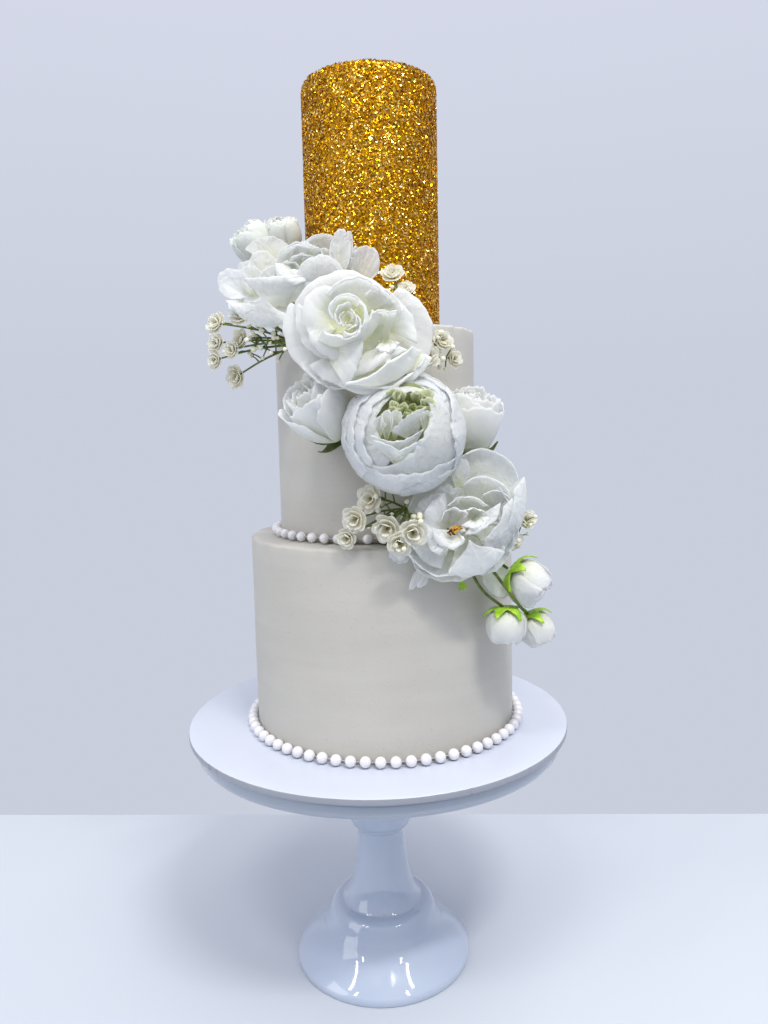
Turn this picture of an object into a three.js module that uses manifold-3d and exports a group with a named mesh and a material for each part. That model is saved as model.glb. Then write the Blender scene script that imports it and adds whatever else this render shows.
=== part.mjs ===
// A three-tier buttercream wedding cake on its foil board and pedestal stand, with two strings of
// pearls and a cascade of silk flowers down its front.
// Millimetres, +Z up. The origin is the middle of the foot's underside; the cascade faces -Y.
import * as THREE from "three";
import { mergeVertices } from "three/addons/utils/BufferGeometryUtils.js";
import Module from "manifold-3d";

// Driving dimensions
const GAP = 0.3; // clearance between pieces that touch
const FOOT_RADIUS = 72.9;
const STAND_HEIGHT = 203;
const PLATE_RADIUS = 147.7;
const PLATE_EDGE = 11; // height of the plate's rim
const BOARD_RADIUS = 152.4; // a 12-inch board
const BOARD_THICKNESS = 5;
const BOTTOM = { x: 6.1, radius: 103.8, height: 151.8 }; // an iced 8-inch tier
const MIDDLE = { x: 3.5, radius: 77.7, height: 153.5 }; // an iced 6-inch tier
const TOP = { x: 3.7, radius: 51.4, height: 182.8 }; // a 4-inch tier under flakes
const PEARLS_BOTTOM = { radius: 3.9, count: 64 };
const PEARLS_MIDDLE = { radius: 3.5, count: 47 };
const GRAIN = 0.45; // how far the top tier's flakes stand proud
const PETAL = 0.9; // thickness of a petal's solid
const STEM_RADIUS = 1.1;

BOTTOM.base = STAND_HEIGHT + GAP + BOARD_THICKNESS + GAP;
BOTTOM.top = BOTTOM.base + BOTTOM.height;
MIDDLE.base = BOTTOM.top + GAP;
MIDDLE.top = MIDDLE.base + MIDDLE.height;
TOP.base = MIDDLE.top + GAP;
TOP.top = TOP.base + TOP.height;

// Materials
const finish = (color, roughness, metalness = 0) =>
  new THREE.MeshStandardMaterial({ color, roughness, metalness });
const WHITE_GLOSS = finish(0xd5dcec, 0.15);
const FOIL = finish(0xe4e8f2, 0.35);
const BUTTERCREAM = finish(0xe6e3d8, 0.6);
const GOLD_FLAKE = finish(0xc8921c, 0.35, 0.9);
const PEARL = finish(0xf0edf4, 0.25);
const SILK = finish(0xf1f4f4, 0.7);
const GREEN_SILK = finish(0xe3eccb, 0.7);
const CREAM_SILK = finish(0xeee4c9, 0.75);

// Solids are joined and cut with manifold-3d
const wasm = await Module();
wasm.setup();

function solidOf(geometry) {
  const bare = geometry.clone();
  bare.deleteAttribute("normal");
  bare.deleteAttribute("uv");
  const merged = mergeVertices(bare, 1e-4);
  return new wasm.Manifold(
    new wasm.Mesh({
      numProp: 3,
      vertProperties: Float32Array.from(merged.attributes.position.array),
      triVerts: Uint32Array.from(merged.index.array),
    }),
  );
}

// The largest body of a solid: loose scraps and sealed hollows are dropped.
function geometryOf(solid) {
  const bodies = solid.decompose().sort((a, b) => b.volume() - a.volume());
  const mesh = bodies[0].getMesh();
  const geometry = new THREE.BufferGeometry();
  const positions = new Float32Array(mesh.numVert * 3);
  for (let i = 0; i < mesh.numVert; i++) {
    const start = i * mesh.numProp;
    positions.set(mesh.vertProperties.subarray(start, start + 3), i * 3);
  }
  geometry.setAttribute("position", new THREE.BufferAttribute(positions, 3));
  geometry.setIndex(new THREE.BufferAttribute(mesh.triVerts, 1));
  geometry.computeVertexNormals();
  return geometry;
}

const fuse = (geometries) => geometries.map(solidOf).reduce((all, one) => all.add(one));

// A seeded draw between 0 and 1
function draws(seed) {
  let state = seed;
  return () => {
    state = (state * 16807) % 2147483647;
    return state / 2147483647;
  };
}

// Turned shapes
const corner = (r, z) => new THREE.Vector2(r, z);
function turned(profile, segments) {
  return new THREE.LatheGeometry(profile, segments).rotateX(Math.PI / 2);
}
const bend = (a, b, c, d, steps) => new THREE.CubicBezierCurve(a, b, c, d).getPoints(steps);

// A round block that stands on z = base, with rounded edges at its top
function block({ radius, base, top }, edge, segments, rows = 1) {
  const profile = [corner(0, base), corner(radius, base)];
  for (let row = 1; row < rows; row++)
    profile.push(corner(radius, base + ((top - edge - base) * row) / rows));
  profile.push(corner(radius, top - edge));
  profile.push(corner(radius - edge * 0.3, top - edge * 0.3));
  profile.push(corner(radius - edge, top));
  profile.push(corner(0, top));
  return turned(profile, segments);
}

function pedestal() {
  const lip = FOOT_RADIUS;
  const crease = corner(33.5, 47.5);
  const shoulder = corner(48.5, 31.3);
  const profile = [
    corner(0, 0),
    corner(lip - 1.4, 0),
    corner(lip, 1.6),
    ...bend(corner(lip, 5), corner(67.6, 12.6), corner(52.1, 22.5), shoulder, 3),
    ...bend(shoulder, corner(43.3, 38.9), corner(43.9, 48.3), crease, 3).slice(1),
    ...bend(corner(31.5, 50), corner(23.5, 60), corner(20.8, 83), corner(19.4, 108.5), 4),
    corner(20.6, 110.5),
    ...bend(corner(24.8, 115.5), corner(31, 128), corner(33, 158), corner(46, 186), 4),
    corner(0, 186),
  ];
  return turned(profile, 28);
}

function plate() {
  const under = STAND_HEIGHT - PLATE_EDGE;
  const profile = [
    corner(0, 186 + GAP),
    corner(52, 186 + GAP),
    ...bend(corner(90, under - 4.5), corner(125, under - 4), corner(142, under - 3.6),
      corner(147, under), 3),
    corner(PLATE_RADIUS, under + 2.5),
    corner(PLATE_RADIUS, STAND_HEIGHT - 1.2),
    corner(PLATE_RADIUS - 1.2, STAND_HEIGHT),
    corner(0, STAND_HEIGHT),
  ];
  return turned(profile, 36);
}

function board() {
  const low = STAND_HEIGHT + GAP;
  const high = low + BOARD_THICKNESS;
  const edge = 0.8;
  const profile = [
    corner(0, low),
    corner(BOARD_RADIUS - edge, low),
    corner(BOARD_RADIUS, low + edge),
    corner(BOARD_RADIUS, high - edge),
    corner(BOARD_RADIUS - edge, high),
    corner(0, high),
  ];
  return turned(profile, 40);
}

// The top tier's wall and rim are rough with coarse flakes.
function flakedTier() {
  const geometry = mergeVertices(block(TOP, 3, 32, 6).deleteAttribute("normal").deleteAttribute("uv"));
  const position = geometry.attributes.position;
  const draw = draws(11);
  for (let i = 0; i < position.count; i++) {
    const radius = Math.hypot(position.getX(i), position.getY(i));
    const lift = (2 * draw() - 1) * GRAIN;
    if (radius < 1 || position.getZ(i) <= TOP.base) continue;
    const scale = (radius + lift) / radius;
    position.setXY(i, position.getX(i) * scale, position.getY(i) * scale);
  }
  return geometry;
}

// Pearls threaded on one string, laid in a ring
function pearlString({ radius, count }, ringRadius) {
  const SECTIONS = 3; // rings of points for each pearl
  const THREAD = 0.22; // the string's radius between two pearls, of the pearl's
  const geometry = new THREE.TorusGeometry(ringRadius, 1, 4, count * SECTIONS);
  const position = geometry.attributes.position;
  const pitch = (2 * Math.PI * ringRadius) / count;
  for (let i = 0; i < position.count; i++) {
    const around = Math.atan2(position.getY(i), position.getX(i));
    const turn = (around / (2 * Math.PI)) * count;
    const along = (turn - Math.floor(turn + 1e-6) - 0.5) * pitch;
    const bead = Math.sqrt(Math.max(0, radius * radius - along * along));
    const swell = Math.max(bead, radius * THREAD) * (bead > radius / 2 ? 1.06 : 1);
    const ring = new THREE.Vector3(Math.cos(around) * ringRadius, Math.sin(around) * ringRadius, 0);
    const point = new THREE.Vector3().fromBufferAttribute(position, i);
    point.sub(ring).multiplyScalar(swell).add(ring);
    position.setXYZ(i, point.x, point.y, point.z);
  }
  return geometry;
}

// Flowers. Each has a core, turned about the axis that faces the viewer, and petals placed one by
// one. A flower's own frame is x right, y up and z forward of its middle.
const RISE = {
  cup: [[0.75, 0.05], [1.08, 0.55]],
  flare: [[0.15, 0.65], [0.6, 1.15]],
  flat: [[0.33, 0.33], [0.67, 0.67]],
};
const { cos, sin, hypot, atan2, asin, min } = Math;
const radians = THREE.MathUtils.degToRad;

// A point on an arc round a hub: `wings` and `drop` move both ends out and forward of the middle,
// `skew` and `tilt` move one end out and forward and the other back.
function onArc([x, y], direction, reach, depth, u, { wings = 0, skew = 0, drop = 0, tilt = 0 } = {}) {
  const far = reach + skew * u + wings * u * u;
  const forward = depth + tilt * u + drop * u * u;
  return new THREE.Vector3(x + far * cos(direction), y + far * sin(direction), forward);
}

// A petal from its foot at the hub to its rim, an arc of [reach, depth]. It rises like a cup, a
// flare or a flat blade, or bulges through the arc `belly`. A globe petal lies on a ball, and its
// rim's depth is the ball's radius there.
function petalSheet({ rise, hub, foot, way, spread, rim: [reach, depth], neck = 2, belly, ...bends }) {
  const BACK = 2.2; // how far round from the front a globe petal starts, in radians
  const WIDEST = 0.99; // of the ball's radius, where a globe petal ends at the latest
  return (u, v) => {
    const direction = radians(way + spread * u);
    const edge = onArc(hub, direction, reach, depth, u, bends);
    if (rise === "globe") {
      const end = asin(min(hypot(edge.x, edge.y) / depth, WIDEST));
      const turn = atan2(edge.y, edge.x);
      const tip = BACK + (end - BACK) * v;
      const radius = CABBAGE_CORE + (depth - CABBAGE_CORE) * v;
      return new THREE.Vector3(sin(tip) * cos(turn), sin(tip) * sin(turn), cos(tip)).multiplyScalar(radius);
    }
    const start = onArc(hub, direction, neck, foot, u);
    const step = edge.clone().sub(start);
    if (belly) {
      const [outward, forward, ...bulge] = belly;
      const middle = onArc(hub, direction, outward, forward, u, { wings: bulge[0], skew: bulge[1] });
      const control = middle.multiplyScalar(2).addScaledVector(start, -0.5).addScaledVector(edge, -0.5);
      return new THREE.QuadraticBezierCurve3(start, control, edge).getPoint(v);
    }
    const [low, high] = RISE[rise].map(([side, up]) =>
      step.clone().multiply(new THREE.Vector3(side, side, up)).add(start));
    return new THREE.CubicBezierCurve3(start, low, high, edge).getPoint(v);
  };
}

// A thin closed solid on both sides of a petal's sheet; `margin` widens it past the petal's edges
function petalGeometry(petal) {
  const straight = petal.rise === "flat"; // from its foot to its rim
  const { across = 3, along = straight ? 1 : 3, thick = PETAL, margin = 0 } = petal;
  const sheet = petalSheet(petal);
  const geometry = new THREE.BoxGeometry(2, 1, 1, across, along, 1);
  const widened = (place, edge) => (Math.abs(place) > edge - 1e-6 ? place * (1 + margin) : place);
  const position = geometry.attributes.position;
  const step = 0.02; // between the points that give the sheet's slope
  for (let i = 0; i < position.count; i++) {
    const u = widened(position.getX(i), 1);
    const v = widened(position.getY(i), 0.5) + 0.5;
    const face = position.getZ(i) * 2;
    const alongU = sheet(u + step, v).sub(sheet(u - step, v));
    const alongV = sheet(u, v + step).sub(sheet(u, v - step));
    const normal = alongU.cross(alongV).normalize();
    const point = sheet(u, v).addScaledVector(normal, (face * thick) / 2);
    position.setXYZ(i, point.x, point.y, point.z);
  }
  return geometry;
}

// A flower's core is turned from its profile, then stepped round into overlapping petals.
function coreGeometry({ profile, folds, twist, depth, segments, middle = [0, 0], stretch = 1 }, size = 1) {
  const geometry = turned(profile.map(([r, z]) => corner(r * size, z * size)), segments);
  const position = geometry.attributes.position;
  for (let i = 0; i < position.count; i++) {
    const [x, y, z] = [position.getX(i), position.getY(i), position.getZ(i)];
    const turn = (atan2(y, x) * folds + 1) / (2 * Math.PI) + (twist * z) / size;
    const step = 1 + depth * (turn - Math.floor(turn) - 0.5);
    position.setXYZ(i, x * step * stretch, y * step, z);
  }
  return geometry.translate(...middle, 0);
}

const CABBAGE_CORE = 36; // the ball under the cabbage rose's outer petals

// Cores of the four large flowers, in mm
const CORES = {
  rose: { middle: [3, -3], folds: 4, twist: 0.02, depth: 0.1, segments: 14, profile: [[0, 0], [14, 1],
    [22, 14], [25, 34], [20, 44], [14, 48], [12.5, 57], [8, 58], [5, 53], [0, 54]] },
  peony: { folds: 4, twist: 0.02, depth: 0.1, segments: 12, profile: [[0, -18], [11, -16], [20, 0],
    [21, 12], [14, 19], [0, 17]] },
  wide: { folds: 4, twist: 0.02, depth: 0.1, segments: 12, stretch: 1.6, profile: [[0, 0], [12, 1],
    [17, 9], [14, 16], [0, 14]] },
  cabbage: { room: 45.5, folds: 5, twist: 0.01, depth: 0.03, segments: 12, profile: [[0, -30],
    [22, -27], [CABBAGE_CORE - 1, -8], [CABBAGE_CORE - 1, 8], [26, 26], [18, 25], [0, 26]] },
};

// Buds and small round flowers, in units of their radius, and the room that each fills
const BUDS = {
  bud: { folds: 3, twist: 0.3, depth: 0.16, segments: 12, profile: [[0, 0], [0.5, 0.08],
    [0.92, 0.6], [1.0, 1.15], [0.86, 1.8], [0.62, 2.2], [0.36, 2.0], [0, 2.1]] },
  ball: { folds: 4, twist: 0.4, depth: 0.14, segments: 12, profile: [[0, 0], [0.55, 0.1],
    [0.95, 0.6], [0.98, 1.15], [0.7, 1.62], [0.4, 1.5], [0, 1.6]] },
};
const BUD_ROOM = [[0, -0.2], [0.6, -0.2], [1.15, 0.5], [1.15, 1.4], [0.8, 2.2], [0, 2.2]];

// A bud sits in a cup whose rim rises to five pointed sepals.
function calyxGeometry(size) {
  const POINTS = 5;
  const profile = [[0, -0.16], [0.5, -0.1], [0.84, 0.24], [1.04, 0.4], [0, 0.4]];
  const geometry = turned(profile.map(([r, z]) => corner(r * size, z * size)), 2 * POINTS);
  const position = geometry.attributes.position;
  for (let i = 0; i < position.count; i++) {
    const [x, y, z] = [position.getX(i), position.getY(i), position.getZ(i)];
    if (z < 0.35 * size || hypot(x, y) < size / 2) continue;
    const tip = sin(atan2(y, x) * POINTS) > 0;
    const pull = tip ? 1 : 0.88;
    position.setXYZ(i, x * pull, y * pull, size * (tip ? 0.7 : 0.24));
  }
  return geometry;
}

// A round stem along a smooth curve
function stem(points, radius = STEM_RADIUS, steps = 4, sides = 4) {
  const outline = new THREE.Shape();
  for (let i = 0; i < sides; i++) {
    const turn = (2 * Math.PI * i) / sides;
    const move = i ? "lineTo" : "moveTo";
    outline[move](radius * Math.cos(turn), radius * Math.sin(turn));
  }
  const path = new THREE.CatmullRomCurve3(points.map((p) => new THREE.Vector3(...p)));
  return new THREE.ExtrudeGeometry(outline, { steps, extrudePath: path });
}

// Where a flower stands: `at` is its middle, `turn` swings its face from -Y towards +X and `lift`
// tips it up, both in degrees.
function placement({ at, turn = 0, lift = 0 }) {
  const a = radians(turn);
  const b = radians(lift);
  const axis = new THREE.Vector3(sin(a) * cos(b), -cos(a) * cos(b), sin(b));
  const right = new THREE.Vector3(cos(a), sin(a), 0);
  const up = new THREE.Vector3().crossVectors(axis, right);
  return new THREE.Matrix4().makeBasis(right, up, axis).setPosition(...at);
}

function flower({ core, petals, bud, size, sepals, stalk, ...spot }) {
  const pieces = bud ? [coreGeometry(BUDS[bud], size)] : [coreGeometry(CORES[core])];
  if (petals) pieces.push(...petals.map(petalGeometry));
  if (sepals) pieces.push(calyxGeometry(size));
  const matrix = placement(spot);
  for (const piece of pieces) piece.applyMatrix4(matrix);
  if (stalk) pieces.push(stem([...stalk, spot.at]));
  return fuse(pieces);
}

// The space that a flower fills, which the pieces behind it keep out of: for a large flower, its
// petals and core with a little clearance, or a ball where it has a `room`, and for a bud a turned
// room.
function roomOf({ core, petals, bud, size, ...spot }) {
  const pieces = [];
  if (bud) {
    pieces.push(turned(BUD_ROOM.map(([r, z]) => corner(r * size, z * size)), 12));
  } else {
    const SWELL = 1.08; // more than the core's steps stand out
    const { profile, middle = [0, 0], stretch = 1, room } = CORES[core];
    const wider = profile.map(([r, z]) => corner(r ? r * SWELL + GAP : 0, z + (z > 0 ? GAP : -GAP)));
    const round = { thick: PETAL + 2 * GAP, margin: 0.02 };
    if (room) pieces.push(new THREE.SphereGeometry(room, 14, 8));
    else {
      pieces.push(turned(wider, 16).scale(stretch, 1, 1).translate(...middle, 0));
      pieces.push(...petals.map((petal) => petalGeometry({ ...petal, ...round })));
    }
  }
  for (const piece of pieces) piece.applyMatrix4(placement(spot));
  return fuse(pieces);
}

// Petals in mm and degrees as seen from the flower's front: how it rises, its hub (right, up), its
// foot's depth, direction, half its spread, its rim's [reach, depth], and how it bends
function petal(rise, hub, foot, way, spread, rim, bends = {}) {
  return { rise, hub, foot, way, spread, rim, ...bends };
}

const ROSE_PETALS = [
  petal("flare", [14, -2], 2, 5, 45, [43, 30], { across: 4 }),
  petal("flare", [0, -1], 5, 97, 80, [29, 38], { wings: 4, drop: -7, across: 5 }),
  petal("flare", [-5, -5], 2, 205, 54, [34, 31], { wings: -2, across: 4 }),
  petal("flat", [-1, -14], 5, 247, 40, [30, 37]),
  petal("flare", [18, -8], 5, 285, 48, [37, 48], { belly: [39, 41], drop: -3 }),
  petal("flare", [21, -6], 24, 35, 64, [20, 41], { wings: 5 }),
  petal("flare", [-9, -4], 16, 212, 66, [20, 37], { wings: 3 }),
  petal("flare", [18, -12], 11, 291, 50, [21, 55], { belly: [31, 42], wings: 9, skew: -4, drop: -4 }),
  petal("cup", [8, -1], 36, 83, 60, [22, 50], { drop: -4 }),
  petal("flare", [-2, 8], 34, 290, 53, [21, 54], { neck: 24, belly: [27, 45], drop: -3 }),
];
const PEONY_LEFT_PETALS = [
  petal("flat", [-6, 1], 7, 107, 30, [31, 10], { wings: -12 }),
  petal("flat", [-10, 3], 6, 135, 30, [28, 9], { wings: -7 }),
  petal("cup", [12, 5], 4, 70, 30, [40, 10], { wings: -9, drop: -3 }),
  petal("flat", [12, 2], 6, 56, 9, [51, 13], { wings: -22, across: 2 }),
  petal("flat", [12, 0], 6, 34, 12, [57, 13], { wings: -20, across: 2 }),
  petal("cup", [6, 4], 4, 78, 34, [32, 17], { wings: -6 }),
  petal("flare", [20, -6], 6, 82, 44, [31, 27], { neck: 6, wings: -8, drop: -4 }),
  petal("flare", [-3, -11], 6, 92, 40, [22, 30], { neck: 8, wings: 8, drop: -6 }),
  petal("flare", [-12, 0], 10, 155, 34, [33, 17], { wings: -13, drop: 4 }),
  petal("flare", [-10, -1], 6, 257, 70, [-2, 37],
    { neck: 6, belly: [21, 26, 4], wings: 28, drop: -12, across: 6 }),
];
const CABBAGE_PETALS = [
  petal("globe", [0, 0], 0, 30, 62, [31, 40.5], { wings: 4, across: 4 }),
  petal("globe", [0, 0], 0, 150, 62, [31, 40.5], { wings: 3, across: 4 }),
  petal("globe", [0, 0], 0, 313, 100, [14, 41], { wings: 18, skew: -5, across: 6 }),
  petal("globe", [0, 0], 0, 281, 66, [28, 42.5], { wings: 9, skew: 3, across: 4 }),
  petal("flat", [-9, -4], 24, 88, 30, [18, 35], { wings: -4 }),
  petal("flat", [4, -2], 24, 95, 40, [18, 36], { wings: 3 }),
  petal("flat", [-2, -12], 24, 94, 50, [10, 37], { wings: 6, neck: 4 }),
];
const PEONY_RIGHT_PETALS = [
  petal("flat", [9, -12], 3, 294, 22, [47, 2], { wings: -18 }),
  petal("flat", [-14, -12], 10, 238, 15, [36, 16], { wings: -12, across: 2 }),
  petal("flat", [-12, -8], 8, 195, 28, [38, 16], { wings: -9 }),
  petal("cup", [7, 0], 2, 72, 44, [49, 8], { wings: -14, across: 4 }),
  petal("cup", [-8, -1], 2, 125, 44, [30, 8]),
  petal("cup", [4, -4], 3, 345, 57, [18, 28], { belly: [31, 13, 8, 10], wings: 9, skew: 12, drop: -3 }),
  petal("cup", [-6, -13], 4, 247, 62, [27, 22], { wings: 3, skew: -4, drop: -4, across: 5 }),
  petal("cup", [6, 6], 6, 45, 60, [28, 20], { wings: -9 }),
  petal("cup", [1, -7], 4, 290, 46, [1, 39], { belly: [27, 28], wings: 16, drop: -5, across: 5 }),
  petal("flare", [-7, -6], 6, 181, 70, [28.5, 19], { wings: -4, tilt: 4, across: 5 }),
  petal("flare", [-6, -5], 8, 171, 63, [22, 26], { skew: -4, tilt: 4 }),
  petal("flare", [7, 3], 13, 305, 84, [9, 31], { wings: 6, skew: 3, drop: -3 }),
];

const FLOWERS = {
  rose_front: { core: "rose", petals: ROSE_PETALS, at: [-16, -82, 512] },
  cabbage_front: { core: "cabbage", petals: CABBAGE_PETALS, at: [21, -106, 438] },
  peony_right: { core: "peony", petals: PEONY_RIGHT_PETALS, at: [59, -92, 378],
    stalk: [[50, -66, 364], [56, -78, 372]] },
  peony_left: { core: "wide", petals: PEONY_LEFT_PETALS, at: [-59, -62, 533],
    stalk: [[-40, -50, 516], [-50, -56, 524]] },
  bud_left: { bud: "bud", at: [-21, -83, 441], turn: -46, lift: 38, size: 20.5, sepals: true },
  bud_right: { bud: "bud", at: [64, -68, 424], turn: 36, lift: 68, size: 20, sepals: true },
  ranunculus_left: { bud: "ball", at: [-76, -24, 570], turn: -58, lift: 42, size: 15,
    stalk: [[-58, -16, 516], [-66, -20, 545]] },
  ranunculus_top: { bud: "ball", at: [-62, -20, 574], turn: -10, lift: 66, size: 14,
    stalk: [[-56, -10, 516], [-58, -16, 545]] },
  blossom_upper: { bud: "ball", at: [95, -90, 341], turn: 78, lift: -36, size: 15.5, sepals: true,
    stalk: [[66, -90, 366], [82, -91, 352]] },
  blossom_lower: { bud: "ball", at: [90, -92, 315], turn: 30, lift: -84, size: 13.5, sepals: true,
    stalk: [[62, -93, 362], [76, -95, 342]] },
  blossom_tip: { bud: "ball", at: [108, -84, 308], turn: 80, lift: -62, size: 12.8, sepals: true,
    stalk: [[66, -92, 360], [92, -92, 334]] },
};

// Sprays of small blossoms: each branch runs from the spray's root to a blossom of a given scale.
const BLOSSOM = 8;
const SPRAYS = {
  spray_left: { root: [-46, -82, 500], tips: [
    [-110, -52, 519, 1], [-87, -84, 521, 1.1], [-109, -60, 504, 0.9], [-90, -74, 505, 0.9],
    [-96, -74, 498, 0.8], [-110, -62, 492, 0.8], [-96, -60, 480, 1]] },
  spray_right: { root: [33, -84, 484], tips: [
    [17, -66, 549, 1], [26, -70, 538, 0.8], [38, -104, 489, 1], [50, -90, 500, 0.9],
    [58, -84, 488, 0.8], [34, -80, 516, 0.7]] },
  spray_lower: { root: [22, -104, 388], tips: [
    [-3, -110, 396, 1.1], [-13, -112, 382, 1.1], [8, -118, 376, 1.15], [-19, -108, 369, 0.9],
    [16, -126, 367, 1], [25, -128, 374, 1.1]] },
  spray_edge: { root: [96, -78, 360], tips: [
    [106, -88, 377, 0.9], [97, -90, 362, 0.8]] },
};

function spray({ root, tips }, extra = 0) {
  const start = new THREE.Vector3(...root);
  const pieces = tips.flatMap(([x, y, z, scale]) => {
    const end = new THREE.Vector3(x, y, z);
    const middle = start.clone().lerp(end, 0.5).add(new THREE.Vector3(0, -2, 2));
    const blossom = new THREE.IcosahedronGeometry(BLOSSOM * scale + extra, 0);
    blossom.scale(1, 0.8, 0.85).translate(x, y, z);
    return [stem([root, middle.toArray(), end.toArray()], 0.8 + extra, 3, 3), blossom];
  });
  return fuse(pieces);
}

// Putting it together: a flower gives way to the tiers, the pearls and the flowers before it.
const cake = new THREE.Group();
const taken = [];

function place(name, geometry, material, x = 0) {
  const mesh = new THREE.Mesh(geometry, material);
  mesh.name = name;
  mesh.position.x = x;
  cake.add(mesh);
}

function placeCut(name, solid, material) {
  place(name, geometryOf(taken.reduce((rest, other) => rest.subtract(other), solid)), material);
}

place("stand_pedestal", pedestal(), WHITE_GLOSS);
place("stand_plate", plate(), WHITE_GLOSS);
place("cake_board", board(), FOIL);
place("tier_bottom", block(BOTTOM, 2, 44), BUTTERCREAM, BOTTOM.x);
place("tier_middle", block(MIDDLE, 2, 40), BUTTERCREAM, MIDDLE.x);
place("tier_top", flakedTier(), GOLD_FLAKE, TOP.x);

for (const [name, pearls, tier] of [
  ["pearls_bottom", PEARLS_BOTTOM, BOTTOM],
  ["pearls_middle", PEARLS_MIDDLE, MIDDLE],
]) {
  const reach = pearls.radius * 1.06;
  const strand = pearlString(pearls, tier.radius + GAP + reach);
  place(name, strand.translate(0, 0, tier.base + reach), PEARL, tier.x);
}

const pearlRoom = {
  radius: MIDDLE.radius + 2 * PEARLS_MIDDLE.radius + 4 * GAP,
  base: BOTTOM.top,
  top: MIDDLE.base + 2 * PEARLS_MIDDLE.radius + 3 * GAP,
};
const tierRoom = ({ radius, base, top }) => ({ radius: radius + 5 * GAP, base, top: top + GAP });
for (const [room, x] of [
  [tierRoom(BOTTOM), BOTTOM.x],
  [tierRoom(MIDDLE), MIDDLE.x],
  [tierRoom(TOP), TOP.x],
  [pearlRoom, MIDDLE.x],
])
  taken.push(solidOf(block(room, 2, 24).translate(x, 0, 0)));

const flowersFront = ["rose_front", "cabbage_front"];
const COLOURS = { ranunculus_left: GREEN_SILK, ranunculus_top: GREEN_SILK };

function placeFlower(name) {
  const solid = flower(FLOWERS[name]);
  placeCut(name, solid, COLOURS[name] ?? SILK);
  taken.push(roomOf(FLOWERS[name]).add(solid));
}

flowersFront.forEach(placeFlower);
for (const [name, spec] of Object.entries(SPRAYS)) {
  placeCut(name, spray(spec), CREAM_SILK);
  taken.push(spray(spec, 2 * GAP));
}
Object.keys(FLOWERS)
  .filter((name) => !flowersFront.includes(name))
  .forEach(placeFlower);

export default cake;
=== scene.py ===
"""The looks of a tiered wedding cake: buttercream, gold flakes, pearls, silk flowers, board and stand.

Lengths are in metres, except that the flowers are written down in mm. The tiers, pearls, board and
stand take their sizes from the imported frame; the flowers stand where the frame's flower nodes are.
"""
import math

import bpy
import numpy as np
from mathutils import Matrix, Vector


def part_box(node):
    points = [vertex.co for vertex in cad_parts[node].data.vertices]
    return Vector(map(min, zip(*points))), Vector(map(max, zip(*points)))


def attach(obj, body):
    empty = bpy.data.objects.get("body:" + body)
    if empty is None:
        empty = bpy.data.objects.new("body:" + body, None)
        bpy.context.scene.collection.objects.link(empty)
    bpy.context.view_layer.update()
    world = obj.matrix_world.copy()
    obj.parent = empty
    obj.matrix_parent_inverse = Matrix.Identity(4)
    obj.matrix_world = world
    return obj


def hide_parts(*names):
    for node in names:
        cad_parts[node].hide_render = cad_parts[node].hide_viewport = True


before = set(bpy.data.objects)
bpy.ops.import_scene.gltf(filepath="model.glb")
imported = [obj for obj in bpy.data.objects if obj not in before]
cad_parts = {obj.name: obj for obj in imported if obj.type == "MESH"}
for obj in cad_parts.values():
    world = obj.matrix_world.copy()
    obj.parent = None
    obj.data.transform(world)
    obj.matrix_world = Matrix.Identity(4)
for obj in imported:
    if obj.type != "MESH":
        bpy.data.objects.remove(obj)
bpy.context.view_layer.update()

MM = 0.001
TAU = 2 * math.pi

# Camera and lights


def make_camera():
    """A phone held in front of the middle tier, tipped down a little."""
    distance, height = 0.6206, 0.4437
    pitch, yaw, roll = 6.38, 0.77, -1.26
    focal_px, frame_px = 775.9, 1024
    data = bpy.data.cameras.new("camera")
    data.sensor_width = 36
    data.lens = focal_px / frame_px * data.sensor_width
    data.clip_start = 0.01
    camera = bpy.data.objects.new("camera", data)
    pose = Matrix.Translation((0, -distance, height))
    for angle, axis in ((-yaw, "Z"), (90 - pitch, "X"), (roll, "Z")):
        pose = pose @ Matrix.Rotation(math.radians(angle), 4, axis)
    camera.matrix_world = pose
    bpy.context.scene.collection.objects.link(camera)
    bpy.context.scene.camera = camera


def area_light(name, place, size, power, colour):
    """A rectangular lamp that shines on the middle of the cake."""
    data = bpy.data.lights.new(name, "AREA")
    data.shape = "RECTANGLE"
    data.size, data.size_y = size
    data.energy = power
    data.color = colour
    light = bpy.data.objects.new(name, data)
    middle = Vector((0, 0, 0.4))
    aim = middle - Vector(place)
    light.matrix_world = Matrix.Translation(place) @ aim.to_track_quat("-Z", "Y").to_matrix().to_4x4()
    bpy.context.scene.collection.objects.link(light)


def make_lamps():
    """Ceiling lamps, the stronger key on the right, and a window far to the left."""
    area_light("ceiling", (0.45, -0.45, 2.1), (1.4, 1.1), 11, (1.0, 0.975, 0.92))
    area_light("key_left", (-0.42, -1.1, 2.05), (0.5, 0.1), 8, (1.0, 0.985, 0.95))
    area_light("key_right", (0.52, -1.1, 2.05), (0.5, 0.1), 18, (1.0, 0.985, 0.95))
    area_light("window", (-1.7, -0.9, 0.9), (0.9, 1.2), 5.6, (1.0, 0.99, 0.97))
    for side, x in (("left", -1.25), ("right", 0.95)):
        for row, y in enumerate((-1.5, -1.0)):
            area_light(f"panel_{side}_{row}", (x, y, 1.75), (0.10, 0.34), 1.6, (1.0, 0.98, 0.95))


# Materials and the room


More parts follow.
